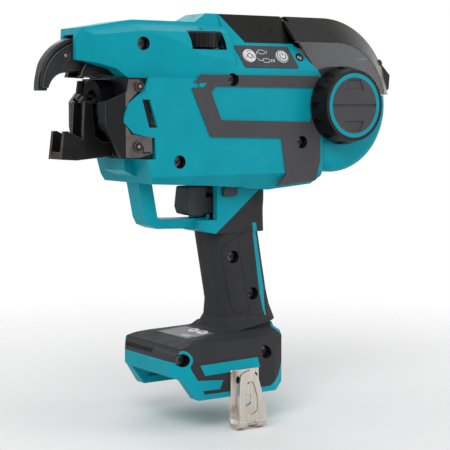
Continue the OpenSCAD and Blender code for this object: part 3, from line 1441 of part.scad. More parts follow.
// Wire feed: motor with its plate, then the two gears
feed_bore_d = 12;
feed_shaft_len = 9;
feed_post_over = 2;
module feed_unit() color([0.55, 0.56, 0.58]) difference() {
    union() {
        translate([feed_x, -feed_y, feed_plate_low - feed_motor_h])
            cylinder(r = feed_motor_r, h = feed_motor_h + feed_plate_t / 2);
        block([feed_x - feed_plate_half[0], -feed_plate_half[1], feed_plate_low],
            [feed_x + feed_plate_half[0], feed_plate_half[1], feed_plate_top]);
        translate([feed_x, feed_y, feed_plate_low])
            cylinder(r = feed_post_r, h = feed_plate_t + feed_gear_h + feed_post_over);
    }
    translate([feed_x, -feed_y, feed_plate_top - feed_bore_d]) cylinder(r = feed_post_r + run_gap, h = 2 * feed_bore_d);
}
module feed_gear(turn) translate([0, 0, feed_plate_top + feed_gear_lift]) linear_extrude(feed_gear_h)
    gear_outline(feed_teeth, turn);
module drive_feed_gear() color(steel) translate([feed_x, -feed_y, 0]) {
    feed_gear(90);
    translate([0, 0, feed_plate_top + feed_gear_lift - feed_shaft_len]) cylinder(r = feed_post_r, h = feed_shaft_len + overrun);
}
module idler_feed_gear() color(steel) translate([feed_x, feed_y, 0]) difference() {
    feed_gear(-90 + 180 / feed_teeth);
    translate([0, 0, feed_plate_low]) cylinder(r = feed_post_r + run_gap, h = 4 * feed_gear_h);
}

// Wire guide: the tube and the cutter's pin on one bracket, with the cutter lever between its cheeks
bracket_gap = 1;
bracket_t = 3;
bracket_over = 4.5;
bracket_front = 5;
bracket_x = cutter_at[0] + cutter_ring_r + bracket_gap;
bracket_half = cutter_w / 2 + move_gap + cheek_plate_t;
bracket_low = nose_bottom + wall + seam;
tube_end_z = feed_z - tube_len * sin(tube_drop);
module wire_guide() color(alloy) difference() {
    union() {
        tube_axis() cylinder(r = tube_r, h = tube_len);
        block([bracket_x, -bracket_half, bracket_low], [bracket_x + bracket_t, bracket_half, tube_end_z + bracket_over]);
        both_sides() block([cutter_at[0] - bracket_front, -bracket_half, bracket_low],
            [bracket_x + bracket_t, -bracket_half + cheek_plate_t, cutter_at[1] + bracket_over]);
        pin_y(cutter_die_r, -bracket_half, bracket_half, cutter_at);
    }
    tube_axis() translate([0, 0, -overrun]) cylinder(r = tube_bore_r, h = 2 * tube_len);
}
module cutter_lever() color(steel) difference() {
    union() {
        pin_y(cutter_ring_r, -cutter_w / 2, cutter_w / 2, cutter_at);
        block([cutter_at[0] - cutter_arm_w / 2, -cutter_w / 2, cutter_arm_low],
            [cutter_at[0] + cutter_arm_w / 2, cutter_w / 2, cutter_at[1]]);
    }
    pin_y(cutter_die_r + run_gap, -cutter_w, cutter_w, cutter_at);
}

left_housing();
right_housing();
left_grip();
right_grip();
left_inlay();
right_inlay();
top_cover();
reel_cover();
cover_windows();
cover_hinge_pin();
cover_latch();
latch_pin();
reel_knob();
knob_ring();
knob_disc();
reel_spindle();
reel_hub();
control_panel();
mode_button();
power_button();
torque_dial();
trigger();
switch_unit();
lock_button();
foot_panel();
display_window();
up_button();
down_button();
belt_hook();
hook_screw();
housing_screws();
plate_screws();
terminal_block();
terminal_blades();
controller();
upper_guide();
guide_cheeks();
guide_pins();
guide_base();
lower_guide();
lower_guide_pin();
front_frame();
left_plate();
right_plate();
twister_hood();
twist_sleeve();
twist_hooks();
twist_shaft();
twist_gear();
gear_case();
motor_can();
motor_stator();
motor_rotor();
motor_shaft();
motor_fan();
feed_unit();
wire_guide();
drive_feed_gear();
idler_feed_gear();
cutter_lever();
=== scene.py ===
"""Looks of the rebar tying tool: materials, rounded edges, signs, trim, light and camera."""
import json
import math

import bmesh
import bpy
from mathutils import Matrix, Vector
from mathutils.bvhtree import BVHTree


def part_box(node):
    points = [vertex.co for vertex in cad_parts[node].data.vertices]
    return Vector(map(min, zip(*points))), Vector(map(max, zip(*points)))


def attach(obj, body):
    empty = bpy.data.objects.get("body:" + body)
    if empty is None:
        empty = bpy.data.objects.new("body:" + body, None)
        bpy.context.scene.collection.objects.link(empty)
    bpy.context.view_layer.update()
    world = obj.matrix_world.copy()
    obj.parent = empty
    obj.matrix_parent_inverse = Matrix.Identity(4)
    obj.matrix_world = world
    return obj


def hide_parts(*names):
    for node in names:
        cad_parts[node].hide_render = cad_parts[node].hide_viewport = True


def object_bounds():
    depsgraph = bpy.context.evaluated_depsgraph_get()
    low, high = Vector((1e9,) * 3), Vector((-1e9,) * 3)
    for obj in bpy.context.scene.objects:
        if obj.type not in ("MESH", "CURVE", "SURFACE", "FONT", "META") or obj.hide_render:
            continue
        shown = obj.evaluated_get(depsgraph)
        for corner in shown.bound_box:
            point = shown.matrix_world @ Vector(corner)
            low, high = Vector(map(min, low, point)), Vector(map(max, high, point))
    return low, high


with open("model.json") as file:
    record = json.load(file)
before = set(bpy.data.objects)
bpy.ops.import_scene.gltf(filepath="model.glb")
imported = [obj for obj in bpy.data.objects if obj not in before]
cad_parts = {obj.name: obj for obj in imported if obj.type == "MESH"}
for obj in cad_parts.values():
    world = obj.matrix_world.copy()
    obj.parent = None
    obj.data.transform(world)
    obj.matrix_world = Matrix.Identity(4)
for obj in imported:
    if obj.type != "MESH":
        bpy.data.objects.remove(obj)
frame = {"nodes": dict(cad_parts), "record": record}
CAD_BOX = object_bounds()
NODES = frame["nodes"]
MM = 0.001
WELD_GAP = 0.004 * MM
SIDES = (("left", -1), ("right", 1))

# Camera: where the photograph was taken from, in millimetres
CAMERA_AT = (-484.5, -759.8, 186.8)
CAMERA_TARGET = (28, 0, 106.6)
CAMERA_LENS = 110.4
SENSOR = 36

# Places on the shells painted near-black as shade: screw wells and the dial's recess, in
# millimetres
WELL_R = 4.2
DIAL_AT = (-4, -20, 227)
DIAL_RECESS_LOW = (-12.9, -20, -6.0)
DIAL_RECESS_HIGH = (12.9, 14, 6.0)

# The foot's dark upper front: how far back it goes, its lowest and highest Z, and the teal
# screw boss beside it, as X and Z, radius and least distance from the middle plane
FOOT_FRONT_X = -20
FOOT_BAND = (24.8, 45)
FOOT_BOSS = (-24.9, 27.7)
FOOT_BOSS_R = 7.4
FOOT_BOSS_Y = 33.5


def island_centres(name):
    """The middle of each separate solid of a node, in metres."""
    bm = bmesh.new()
    bm.from_mesh(NODES[name].data)
    bmesh.ops.remove_doubles(bm, verts=bm.verts, dist=WELD_GAP)
    seen = set()
    centres = []
    for first in bm.verts:
        if first in seen:
            continue
        seen.add(first)
        wave = [first]
        island = []
        while wave:
            vert = wave.pop()
            island.append(vert.co.copy())
            for edge in vert.link_edges:
                other = edge.other_vert(vert)
                if other not in seen:
                    seen.add(other)
                    wave.append(other)
        centres.append(sum(island, Vector()) / len(island))
    bm.free()
    return centres


WELLS = island_centres("housing_screws")


# Shader building blocks

RAMP_ENDS = (0.35, 0.65)
# Colour sockets of a Mix node, by number, since its other sockets have the same names
MIX_FIRST = 6
MIX_SECOND = 7
MIX_RESULT = 2


def socket(node, name, value):
    node.inputs[name].default_value = value


def new_material(name):
    """A node material with a Principled shader, and its texture coordinates."""
    mat = bpy.data.materials.new(name)
    mat.use_nodes = True
    tree = mat.node_tree
    shader = tree.nodes["Principled BSDF"]
    coords = tree.nodes.new("ShaderNodeTexCoord")
    return mat, tree, shader, coords


def noise(tree, coords, scale, detail=3, rough=0.55):
    node = tree.nodes.new("ShaderNodeTexNoise")
    socket(node, "Scale", scale)
    socket(node, "Detail", detail)
    socket(node, "Roughness", rough)
    tree.links.new(coords, node.inputs["Vector"])
    return node.outputs["Fac"]


def ramp(tree, value, low, high):
    """Maps a value to a grey or a colour between low and high."""
    node = tree.nodes.new("ShaderNodeValToRGB")
    for stop, place, colour in zip(node.color_ramp.elements, RAMP_ENDS, (low, high)):
        stop.position = place
        stop.color = (*colour, 1) if isinstance(colour, tuple) else (colour, colour, colour, 1)
    tree.links.new(value, node.inputs["Fac"])
    return node.outputs["Color"]


def bump(tree, height, strength, distance):
    node = tree.nodes.new("ShaderNodeBump")
    socket(node, "Strength", strength)
    socket(node, "Distance", distance)
    tree.links.new(height, node.inputs["Height"])
    return node.outputs["Normal"]


def math_node(tree, operation, first, second):
    """One Math node; a number goes on its socket, an output is linked."""
    node = tree.nodes.new("ShaderNodeMath")
    node.operation = operation
    for entry, value in zip(node.inputs, (first, second)):
        if isinstance(value, (int, float)):
            entry.default_value = value
        else:
            tree.links.new(value, entry)
    return node.outputs["Value"]


def vector_node(tree, operation, first, second=None):
    node = tree.nodes.new("ShaderNodeVectorMath")
    node.operation = operation
    tree.links.new(first, node.inputs[0])
    if second is not None:
        node.inputs[1].default_value = second
    return node.outputs["Value" if operation in ("DISTANCE", "LENGTH") else "Vector"]


def split(tree, vector):
    """The X, Y and Z outputs of a vector."""
    node = tree.nodes.new("ShaderNodeSeparateXYZ")
    tree.links.new(vector, node.inputs[0])
    return node.outputs


def mixed(tree, share, first, colour):
    """First output where share is 0, the plain colour where it is 1."""
    node = tree.nodes.new("ShaderNodeMix")
    node.data_type = "RGBA"
    tree.links.new(share, node.inputs[0])
    tree.links.new(first, node.inputs[MIX_FIRST])
    node.inputs[MIX_SECOND].default_value = (*colour, 1)
    return node.outputs[MIX_RESULT]


def tint(colour, share):
    return tuple(min(1, c * share) for c in colour)


# Places on the shells: each gives 1 inside and 0 outside

def in_wells(tree, coords):
    """The sunk screw wells, which run along Y."""
    flat = vector_node(tree, "MULTIPLY", coords, (1, 0, 1))
    inside = 0
    for well in WELLS:
        away = vector_node(tree, "DISTANCE", flat, (well.x, 0, well.z))
        near = math_node(tree, "LESS_THAN", away, WELL_R * MM)
        inside = math_node(tree, "MAXIMUM", near, inside)
    return inside


def in_dial_recess(tree, coords):
    """The box that the dial sits in."""
    low = Vector(DIAL_AT) + Vector(DIAL_RECESS_LOW)
    high = Vector(DIAL_AT) + Vector(DIAL_RECESS_HIGH)
    middle = (low + high) / 2 * MM
    half = (high - low) / 2 * MM
    away = vector_node(tree, "ABSOLUTE", vector_node(tree, "SUBTRACT", coords, middle))
    inside = 1
    for part, size in zip(split(tree, away), half):
        near = math_node(tree, "LESS_THAN", part, size)
        inside = math_node(tree, "MINIMUM", near, inside)
    return inside


# Painted shade: the shells go near-black in the screw wells and the dial's recess
def in_recess_shade(tree, coords):
    return math_node(tree, "MAXIMUM", in_wells(tree, coords), in_dial_recess(tree, coords))


def in_foot_front(tree, coords):
    """The upper front of the foot, but for the screw boss."""
    x, y, z = split(tree, coords)
    front = math_node(tree, "LESS_THAN", x, FOOT_FRONT_X * MM)
    above = math_node(tree, "GREATER_THAN", z, FOOT_BAND[0] * MM)
    below = math_node(tree, "LESS_THAN", z, FOOT_BAND[1] * MM)
    upper = math_node(tree, "MULTIPLY", math_node(tree, "MULTIPLY", above, front), below)
    flat = vector_node(tree, "MULTIPLY", coords, (1, 0, 1))
    away = vector_node(tree, "DISTANCE", flat, (FOOT_BOSS[0] * MM, 0, FOOT_BOSS[1] * MM))
    near = math_node(tree, "LESS_THAN", away, FOOT_BOSS_R * MM)
    side = math_node(tree, "GREATER_THAN", math_node(tree, "ABSOLUTE", y, 0), FOOT_BOSS_Y * MM)
    boss = math_node(tree, "MULTIPLY", near, side)
    return math_node(tree, "MULTIPLY", upper, math_node(tree, "SUBTRACT", 1, boss))


# Materials: noise scales are per metre, bump depths in millimetres

DRIFT_SCALE = 35
GLOSS_SCALE = 120
GLOSS_DRIFT = 0.06
GRAIN_STRENGTH = 0.35
STREAK_TINT = 0.88
STREAK_ROUGH = (-0.05, 0.08)
STREAK_STRENGTH = 0.2
STREAK_DEPTH = 0.01
MOTTLE_SCALE = 160
MOTTLE_TINTS = (0.75, 1.3)
MOTTLE_ROUGH = (0.1, -0.05)
PIT_SCALE = 1400
PIT_STRENGTH = 0.25
PIT_DEPTH = 0.02
# Painted shade: faces whose normal has X below this take the front colour
TOWARDS_NOSE = -0.2
COAT_METALLIC = 0.2
COAT_LEVEL = 0.2
FLOW_SCALE = 25
FLOW_TINTS = (0.85, 1.15)
FLOW_ROUGH = (0.12, 0.2)
RIPPLE_SCALE = 60
RIPPLE_STRENGTH = 0.1
RIPPLE_DEPTH = 0.02


def moulded(name, colour, rough, level, grain=900, depth=0.02, spread=0.06, paints=()):
    """Moulded plastic: a fine grain, slightly uneven gloss and a little colour drift.

    Paints are pairs of a place, such as in_wells, and the colour there.
    """
    mat, tree, shader, coords = new_material(name)
    place = coords.outputs["Object"]
    drift = noise(tree, place, DRIFT_SCALE)
    shown = ramp(tree, drift, tint(colour, 1 - spread), tint(colour, 1 + spread))
    for where, other in paints:
        shown = mixed(tree, where(tree, place), shown, other)
    tree.links.new(shown, shader.inputs["Base Color"])
    uneven = noise(tree, place, GLOSS_SCALE, detail=5)
    gloss = ramp(tree, uneven, rough - GLOSS_DRIFT, rough + GLOSS_DRIFT)
    tree.links.new(gloss, shader.inputs["Roughness"])
    grains = bump(tree, noise(tree, place, grain, detail=2), GRAIN_STRENGTH, depth * MM)
    tree.links.new(grains, shader.inputs["Normal"])
    socket(shader, "Specular IOR Level", level)
    return mat


def metal(name, colour, rough, streak=(60, 60, 900)):
    """Steel or plating with fine drawn streaks along one axis."""
    mat, tree, shader, coords = new_material(name)
    stretch = tree.nodes.new("ShaderNodeMapping")
    socket(stretch, "Scale", streak)
    tree.links.new(coords.outputs["Object"], stretch.inputs["Vector"])
    lines = noise(tree, stretch.outputs["Vector"], scale=1, detail=4)
    shown = ramp(tree, lines, tint(colour, STREAK_TINT), colour)
    tree.links.new(shown, shader.inputs["Base Color"])
    gloss = ramp(tree, lines, *(rough + drift for drift in STREAK_ROUGH))
    tree.links.new(gloss, shader.inputs["Roughness"])
    scratches = bump(tree, lines, STREAK_STRENGTH, STREAK_DEPTH * MM)
    tree.links.new(scratches, shader.inputs["Normal"])
    socket(shader, "Metallic", 1)
    return mat


def blackened(name, colour, rough, front=None):
    """Blackened steel: a dark mottled coat with some sheen.

    Front is a painted shade: the colour of faces towards the nose, which face away from the
    light.
    """
    mat, tree, shader, coords = new_material(name)
    place = coords.outputs["Object"]
    mottle = noise(tree, place, MOTTLE_SCALE, detail=5, rough=0.65)
    shown = ramp(tree, mottle, *(tint(colour, share) for share in MOTTLE_TINTS))
    if front is not None:
        # Painted shade on faces towards the nose
        facing = split(tree, coords.outputs["Normal"])["X"]
        shown = mixed(tree, math_node(tree, "LESS_THAN", facing, TOWARDS_NOSE), shown, front)
    tree.links.new(shown, shader.inputs["Base Color"])
    gloss = ramp(tree, mottle, *(rough + drift for drift in MOTTLE_ROUGH))
    tree.links.new(gloss, shader.inputs["Roughness"])
    pits = bump(tree, noise(tree, place, PIT_SCALE, detail=2), PIT_STRENGTH, PIT_DEPTH * MM)
    tree.links.new(pits, shader.inputs["Normal"])
    socket(shader, "Metallic", COAT_METALLIC)
    socket(shader, "Specular IOR Level", COAT_LEVEL)
    return mat


def smoke(name, colour, alpha):
    """Smoke-clear plastic with a faint flow pattern."""
    mat, tree, shader, coords = new_material(name)
    place = coords.outputs["Object"]
    flow = noise(tree, place, FLOW_SCALE)
    shown = ramp(tree, flow, *(tint(colour, share) for share in FLOW_TINTS))
    tree.links.new(shown, shader.inputs["Base Color"])
    tree.links.new(ramp(tree, flow, *FLOW_ROUGH), shader.inputs["Roughness"])
    ripple = bump(tree, noise(tree, place, RIPPLE_SCALE), RIPPLE_STRENGTH, RIPPLE_DEPTH * MM)
    tree.links.new(ripple, shader.inputs["Normal"])
    socket(shader, "Alpha", alpha)
    return mat


TEAL_COLOUR = (0.004, 0.345, 0.435)
# Painted highlight: a lighter teal for the rounded edges
TEAL_HIGHLIGHT_COLOUR = (0.03, 0.45, 0.53)
GRIP_COLOUR = (0.042, 0.042, 0.045)
# Painted highlight: a lighter grip colour for the rounded edges in the foot's dark front
GRIP_HIGHLIGHT_COLOUR = tint(GRIP_COLOUR, 1.3)
# Painted shade: the near-black of the screw wells and the dial's recess, on the shells, grip
# and dark plastic
RECESS_SHADE_BLACK = (0.006, 0.006, 0.007)
SHELL_PAINTS = ((in_foot_front, GRIP_COLOUR), (in_recess_shade, RECESS_SHADE_BLACK))
EDGE_HIGHLIGHT_PAINTS = ((in_foot_front, GRIP_HIGHLIGHT_COLOUR),)
WELL_SHADE_PAINTS = ((in_wells, RECESS_SHADE_BLACK),)

TEAL = moulded("teal_shell", TEAL_COLOUR, 0.38, level=0.08, paints=SHELL_PAINTS)
TEAL_EDGE_HIGHLIGHT = moulded(
    "teal_edge_highlight", TEAL_HIGHLIGHT_COLOUR, 0.34, level=0.12, spread=0.1, paints=EDGE_HIGHLIGHT_PAINTS,
)
GRIP = moulded(
    "soft_grip", GRIP_COLOUR, 0.6, level=0.06, grain=1600, depth=0.04, paints=WELL_SHADE_PAINTS,
)
DARK = moulded(
    "dark_plastic", (0.074, 0.074, 0.081), 0.46, level=0.1, grain=1300, depth=0.03,
    paints=WELL_SHADE_PAINTS,
)
BLACK = moulded(
    "black_plastic", (0.008, 0.008, 0.009), 0.32, level=0.15, grain=1100, depth=0.03,
)
GLOSS = moulded("cover_plastic", (0.012, 0.0115, 0.011), 0.22, level=0.14, grain=90, spread=0.2)
HOOD = moulded("hood_black", (0.004, 0.004, 0.005), 0.5, level=0.04)
PALE = moulded("pale_key", (0.74, 0.75, 0.77), 0.35, level=0.1, spread=0.02)
FILM = moulded("panel_film", (0.070, 0.073, 0.083), 0.34, level=0.1, grain=600, depth=0.006)
DECK_FILM = moulded("deck_film", (0.15, 0.155, 0.17), 0.34, level=0.1, grain=600, depth=0.006)
DISPLAY = moulded("display", (0.24, 0.30, 0.35), 0.18, level=0.15, grain=200, depth=0.003)
SMOKE = smoke("smoke_window", (0.085, 0.088, 0.092), 0.72)
BLACK_STEEL = blackened("black_steel", (0.024, 0.025, 0.027), 0.34)
# Edge wear and painted highlight: a lighter brownish rim for the rounded edges of black steel
# and plates
EDGE_WEAR_AND_HIGHLIGHT = blackened("edge_wear_and_highlight", (0.14, 0.115, 0.10), 0.34)
# Painted shade: the plates' faces towards the nose are near-black
PLATE_SHADED_FRONT = blackened("plate_sheet", (0.115, 0.10, 0.092), 0.45, front=(0.009, 0.010, 0.012))
GUIDE_STEEL = blackened("guide_steel", (0.009, 0.009, 0.010), 0.34)
STEEL = metal("steel", (0.42, 0.42, 0.43), 0.28)
# Painted shade: the housing screws' steel is darkened for the shade deep in their wells
SCREW_IN_WELL_SHADE = metal("screw", (0.11, 0.11, 0.115), 0.3)
SMALL_HEAD = metal("small_head", (0.22, 0.21, 0.21), 0.3)
NICKEL = metal("nickel", (0.68, 0.62, 0.56), 0.24, streak=(900, 60, 60))
ALLOY = metal("alloy", (0.60, 0.61, 0.63), 0.42, streak=(300, 300, 300))
LAMINATION = metal("laminations", (0.25, 0.15, 0.09), 0.45, streak=(900, 40, 40))
CONTACT = metal("contact", (0.75, 0.55, 0.25), 0.25)

SLOT_MATERIALS = {
    "teal_shell": TEAL, "soft_grip": GRIP, "dark_plastic": DARK, "black_plastic": BLACK,
    "smoke_window": SMOKE, "pale_key": PALE, "panel_film": FILM, "display": DISPLAY,
    "black_steel": BLACK_STEEL, "plate_sheet": PLATE_SHADED_FRONT, "steel": STEEL, "nickel": NICKEL,
    "alloy": ALLOY, "laminations": LAMINATION, "contact": CONTACT,
}
# Nodes that look unlike the rest of their slot
NODE_MATERIALS = {
    "top_cover": GLOSS, "reel_cover": GLOSS, "guide_pins": BLACK_STEEL,
    "twist_hooks": BLACK_STEEL, "housing_screws": SCREW_IN_WELL_SHADE, "twister_hood": HOOD,
    "foot_panel": DECK_FILM, "lower_guide": GUIDE_STEEL, "guide_base": GUIDE_STEEL,
}
# Slots whose rounded edges take a painted highlight, on the steel with edge wear too, and nodes
# that don't take it
EDGE_HIGHLIGHT_MATERIALS = {"teal_shell": TEAL_EDGE_HIGHLIGHT, "black_steel": EDGE_WEAR_AND_HIGHLIGHT, "plate_sheet": EDGE_WEAR_AND_HIGHLIGHT}
PLAIN_EDGES = ("guide_pins", "twister_hood")

# Edge rounding of the CAD nodes, in millimetres, where it isn't the usual one
USUAL_ROUND = 0.5
ROUNDS = {
    "left_housing": 0.7, "right_housing": 0.7, "reel_cover": 0.7, "top_cover": 0.6,
    "left_plate": 0.3, "right_plate": 0.3, "cover_windows": 0.3, "reel_knob": 0.6,
    "trigger": 0.8, "guide_cheeks": 0.4, "lower_guide": 0.4, "twist_gear": 0.08,
    "motor_shaft": 0.08, "drive_feed_gear": 0.08, "idler_feed_gear": 0.08,
    "housing_screws": 0.15, "plate_screws": 0.3, "hook_screw": 0.3, "terminal_blades": 0.15,
    "control_panel": 0.2, "foot_panel": 0.2, "display_window": 0.15, "motor_fan": 0.2,
}
ROUND_STEPS = 2
FLAT_ANGLE = math.radians(0.8)
SHARP_ANGLE = math.radians(28)


def rounded_edges(obj, width):
    """Welds the node's faces, joins flat ones and rounds its sharp edges."""
    weld = obj.modifiers.new("weld", "WELD")
    weld.merge_threshold = WELD_GAP
    flat = obj.modifiers.new("flat", "DECIMATE")
    flat.decimate_type = "DISSOLVE"
    flat.angle_limit = FLAT_ANGLE
    edge = obj.modifiers.new("edge", "BEVEL")
    edge.width = width * MM
    edge.segments = ROUND_STEPS
    edge.limit_method = "ANGLE"
    edge.angle_limit = SHARP_ANGLE
    edge.harden_normals = True
    # The rounded faces take the second slot where there is one, a painted edge highlight
    if len(obj.data.materials) > 1:
        edge.material = 1
    even_normals(obj)


def even_normals(obj):
    normal = obj.modifiers.new("normal", "WEIGHTED_NORMAL")
    normal.keep_sharp = True


def dress_nodes():
    slots = {s["node"]: s["material_slot"] for s in frame["record"]["subparts"]}
    for name, obj in NODES.items():
        slot = slots[name]
        obj.data.materials.clear()
        obj.data.materials.append(NODE_MATERIALS.get(name, SLOT_MATERIALS[slot]))
        # Second slot: the painted highlight of the rounded edges
        if slot in EDGE_HIGHLIGHT_MATERIALS and name not in PLAIN_EDGES:
            obj.data.materials.append(EDGE_HIGHLIGHT_MATERIALS[slot])
        rounded_edges(obj, ROUNDS.get(name, USUAL_ROUND))


dress_nodes()


# Mesh building blocks

def surface(name):
    """The CAD skin of a node, to cast rays on."""
    bm = bmesh.new()
    bm.from_mesh(NODES[name].data)
    tree = BVHTree.FromBMesh(bm)
    bm.free()
    return tree


def loft(bm, rings, closed=False):
    """Joins rings of vertices with faces and gives them; caps the ends of an open row."""
    sides = []
    count = len(rings[0])
    for a, b in zip(rings, rings[1:] + (rings[:1] if closed else [])):
        for i in range(count):
            k = (i + 1) % count
            sides.append(bm.faces.new((a[i], a[k], b[k], b[i])))
    if not closed:
        bm.faces.new(rings[0][::-1])
        bm.faces.new(rings[-1])
    return sides


def add_strip(bm, points, normals, width, low, high, closed=False):
    """A thin band along points, from low under the surface to high above it."""
    rings = []
    count = len(points)
    for i, (point, normal) in enumerate(zip(points, normals)):
        before = points[i - 1] if closed or i else point
        after = points[(i + 1) % count] if closed or i < count - 1 else point
        side = (after - before).cross(normal).normalized() * width / 2
        corners = ((-1, -low), (-1, high), (1, high), (1, -low))
        rings.append([bm.verts.new(point + side * s + normal * h) for s, h in corners])
    loft(bm, rings, closed)


def add_prism(bm, points, normal, low, high):
    """A flat form of any outline, from low under the surface to high above it."""
    foot = [bm.verts.new(p - normal * low) for p in points]
    top = [bm.verts.new(p + normal * high) for p in points]
    loft(bm, [foot, top])


def add_lathe(bm, place, profile, steps=32, ring=False):
    """A turned form: profile is radius and height pairs.

    They run from the rim to the middle, or right round the section of a ring.
    """
    rings = []
    turns = [math.tau * i / steps for i in range(steps)]
    for r, h in profile:
        rings.append([bm.verts.new(place(r * math.cos(t), r * math.sin(t), h)) for t in turns])
    loft(bm, rings, ring)


def add_plate(bm, outline, holes, y0, y1):
    """A flat plate across Y, with outline and holes as X and Z in millimetres."""
    edges = []
    for loop in (outline, *holes):
        verts = [bm.verts.new(Vector((x, y0, z)) * MM) for x, z in loop]
        edges += [bm.edges.new((verts[i - 1], verts[i])) for i in range(len(verts))]
    made = bmesh.ops.triangle_fill(bm, edges=edges, use_beauty=True)["geom"]
    faces = [g for g in made if isinstance(g, bmesh.types.BMFace)]
    grown = bmesh.ops.extrude_face_region(bm, geom=faces, use_keep_orig=True)["geom"]
    verts = [g for g in grown if isinstance(g, bmesh.types.BMVert)]
    bmesh.ops.translate(bm, verts=verts, vec=Vector((0, y1 - y0, 0)) * MM)


def new_piece(name, bm, material, body):
    bmesh.ops.recalc_face_normals(bm, faces=bm.faces)
    mesh = bpy.data.meshes.new(name)
    bm.to_mesh(mesh)
    bm.free()
    mesh.materials.append(material)
    obj = bpy.data.objects.new(name, mesh)
    bpy.context.collection.objects.link(obj)
    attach(obj, body)
    return obj


RAY_START = 20 * MM


class Face:
    """A flat place on a node: u runs along it, v up it, and the normal stands off it."""

    def __init__(self, node, start, inward, along=(1, 0, 0)):
        inward = Vector(inward).normalized()
        start = Vector(start) - inward * RAY_START
        self.origin, self.normal = surface(node).ray_cast(start, inward)[:2]
        if self.normal.dot(inward) > 0:
            self.normal = -self.normal
        along = Vector(along)
        self.u = (along - self.normal * along.dot(self.normal)).normalized()
        self.v = self.normal.cross(self.u)

    def place(self, u, v, h=0):
        return self.origin + (self.u * u + self.v * v + self.normal * h) * MM


PRINT_LOW = 0.05 * MM
PRINT_HIGH = 0.06 * MM


def printed(name, face, lines, fills, material, body):
    """A printed mark, in millimetres: lines are (points, width, closed), fills are outlines."""
    bm = bmesh.new()
    for points, width, closed in lines:
        path = [face.place(*p) for p in points]
        normals = [face.normal] * len(path)
        add_strip(bm, path, normals, width * MM, PRINT_LOW, PRINT_HIGH, closed)
    for points in fills:
        add_prism(bm, [face.place(*p) for p in points], face.normal, PRINT_LOW, PRINT_HIGH)
    new_piece(name, bm, material, body)


def arc(radius, start=0, end=360, middle=(0, 0), steps=40):
    """Points of an arc; a full turn doesn't repeat its first point."""
    count = steps + 1 if end - start < 360 else steps
    turns = [math.radians(start + (end - start) * i / steps) for i in range(count)]
    return [(middle[0] + radius * math.cos(t), middle[1] + radius * math.sin(t)) for t in turns]


def ellipse(middle, wide, high, steps=24):
    turns = [math.tau * i / steps for i in range(steps)]
    return [(middle[0] + wide * math.cos(t), middle[1] + high * math.sin(t)) for t in turns]


def round_rect(u, v, width, height):
    """A rectangle with cut corners."""
    a, b, cut = width / 2, height / 2, height / 4
    lower = [(-a, -b + cut), (-a + cut, -b), (a - cut, -b), (a, -b + cut)]
    upper = [(a, b - cut), (a - cut, b), (-a + cut, b), (-a, b - cut)]
    return [(u + x, v + y) for x, y in lower + upper]


def box_middle(node):
    low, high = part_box(node)
    return (Vector(low) + Vector(high)) / 2


# Plain signs on the control panel, the foot panel and their buttons, in millimetres
PANEL_IN = (0, 0.8682, -0.4961)
DECK_IN = (0.0596, 0, -0.9982)
POWER_LINES = (
    (arc(4.1), 0.55, True),
    (arc(2.3, 130, 410), 0.6, False),
    (((0, 0.3), (0, 3.0)), 0.6, False),
)
MODE_LINES = (
    (arc(1.7, middle=(0, -0.4)), 0.5, True),
    (((-3.2, -2.0), (-2.2, 0.2)), 0.45, False),
    (((3.2, -2.0), (2.2, 0.2)), 0.45, False),
    (((-1.6, 2.6), (0, 3.6), (1.6, 2.6)), 0.45, False),
)
PANEL_LINES = (
    (((-7.4, 1.2), (-6.2, 3.2), (-5.2, 3.2)), 0.35, False),
    (((-7.4, -1.2), (-6.2, -3.2), (-3.2, -3.2)), 0.35, False),
    (round_rect(-2.6, 3.2, 5.0, 2.8), 0.35, True),
    (round_rect(-0.6, -3.2, 5.0, 2.8), 0.35, True),
)
PANEL_TICKS = ((1.4, 3.2), (3.4, -3.2), (4.6, -3.2), (5.8, -3.2))
TICK_REACH = (0.3, 1.1)
TICK_WIDTH = 0.4
KEY_ARROW = ((-1.8, -1.2), (1.8, -1.2), (0, 1.7))


def panel_marks():
    """Signs on the control panel and its two buttons."""
    power_at = box_middle("power_button")
    mode_at = box_middle("mode_button")
    power = Face("power_button", power_at, PANEL_IN)
    printed("power_mark", power, POWER_LINES, [], FILM, "power_key")
    mode = Face("mode_button", mode_at, PANEL_IN)
    printed("mode_mark", mode, MODE_LINES, [], FILM, "mode_key")
    panel = Face("control_panel", (power_at + mode_at) / 2, PANEL_IN)
    lines = list(PANEL_LINES)
    du, dv = TICK_REACH
    for u, v in PANEL_TICKS:
        lines.append((((u - du, v - dv), (u + du, v + dv)), TICK_WIDTH, False))
    printed("panel_marks", panel, lines, [], PALE, "housing")


def key_marks():
    """An arrow on each key of the foot panel."""
    for name, turn in (("up", 1), ("down", -1)):
        key = Face(name + "_button", box_middle(name + "_button"), DECK_IN, (0, -1, 0))
        arrow = [(u, v * turn) for u, v in KEY_ARROW]
        printed(name + "_mark", key, [], [arrow], FILM, name + "_key")


panel_marks()
key_marks()


# Panel lines of the grip, as X and Z in millimetres
GRIP_LINES = (
    (
        (35.7, 106.2), (15.2, 93.7), (16.7, 83.7), (20.1, 65.5), (23.0, 52.4), (25.4, 49.8),
        (35.9, 48.2), (43.7, 46.6),
    ),
    ((26.6, 100.6), (29.0, 86.0), (35.9, 48.2)),
)
LINE_STEP = 1.5
LINE_WIDTH = 0.4 * MM
LINE_LOW = 0.2 * MM
LINE_HIGH = 0.04 * MM
SIDE_RAY_Y = 60
SIDE_FACING = 0.3


def along_line(corners):
    """Points along a line, about LINE_STEP apart."""
    points = []
    for (x0, z0), (x1, z1) in zip(corners, corners[1:]):
        count = max(1, round(math.hypot(x1 - x0, z1 - z0) / LINE_STEP))
        shares = [i / count for i in range(count)]
        points += [(x0 + (x1 - x0) * share, z0 + (z1 - z0) * share) for share in shares]
    return points + [corners[-1]]


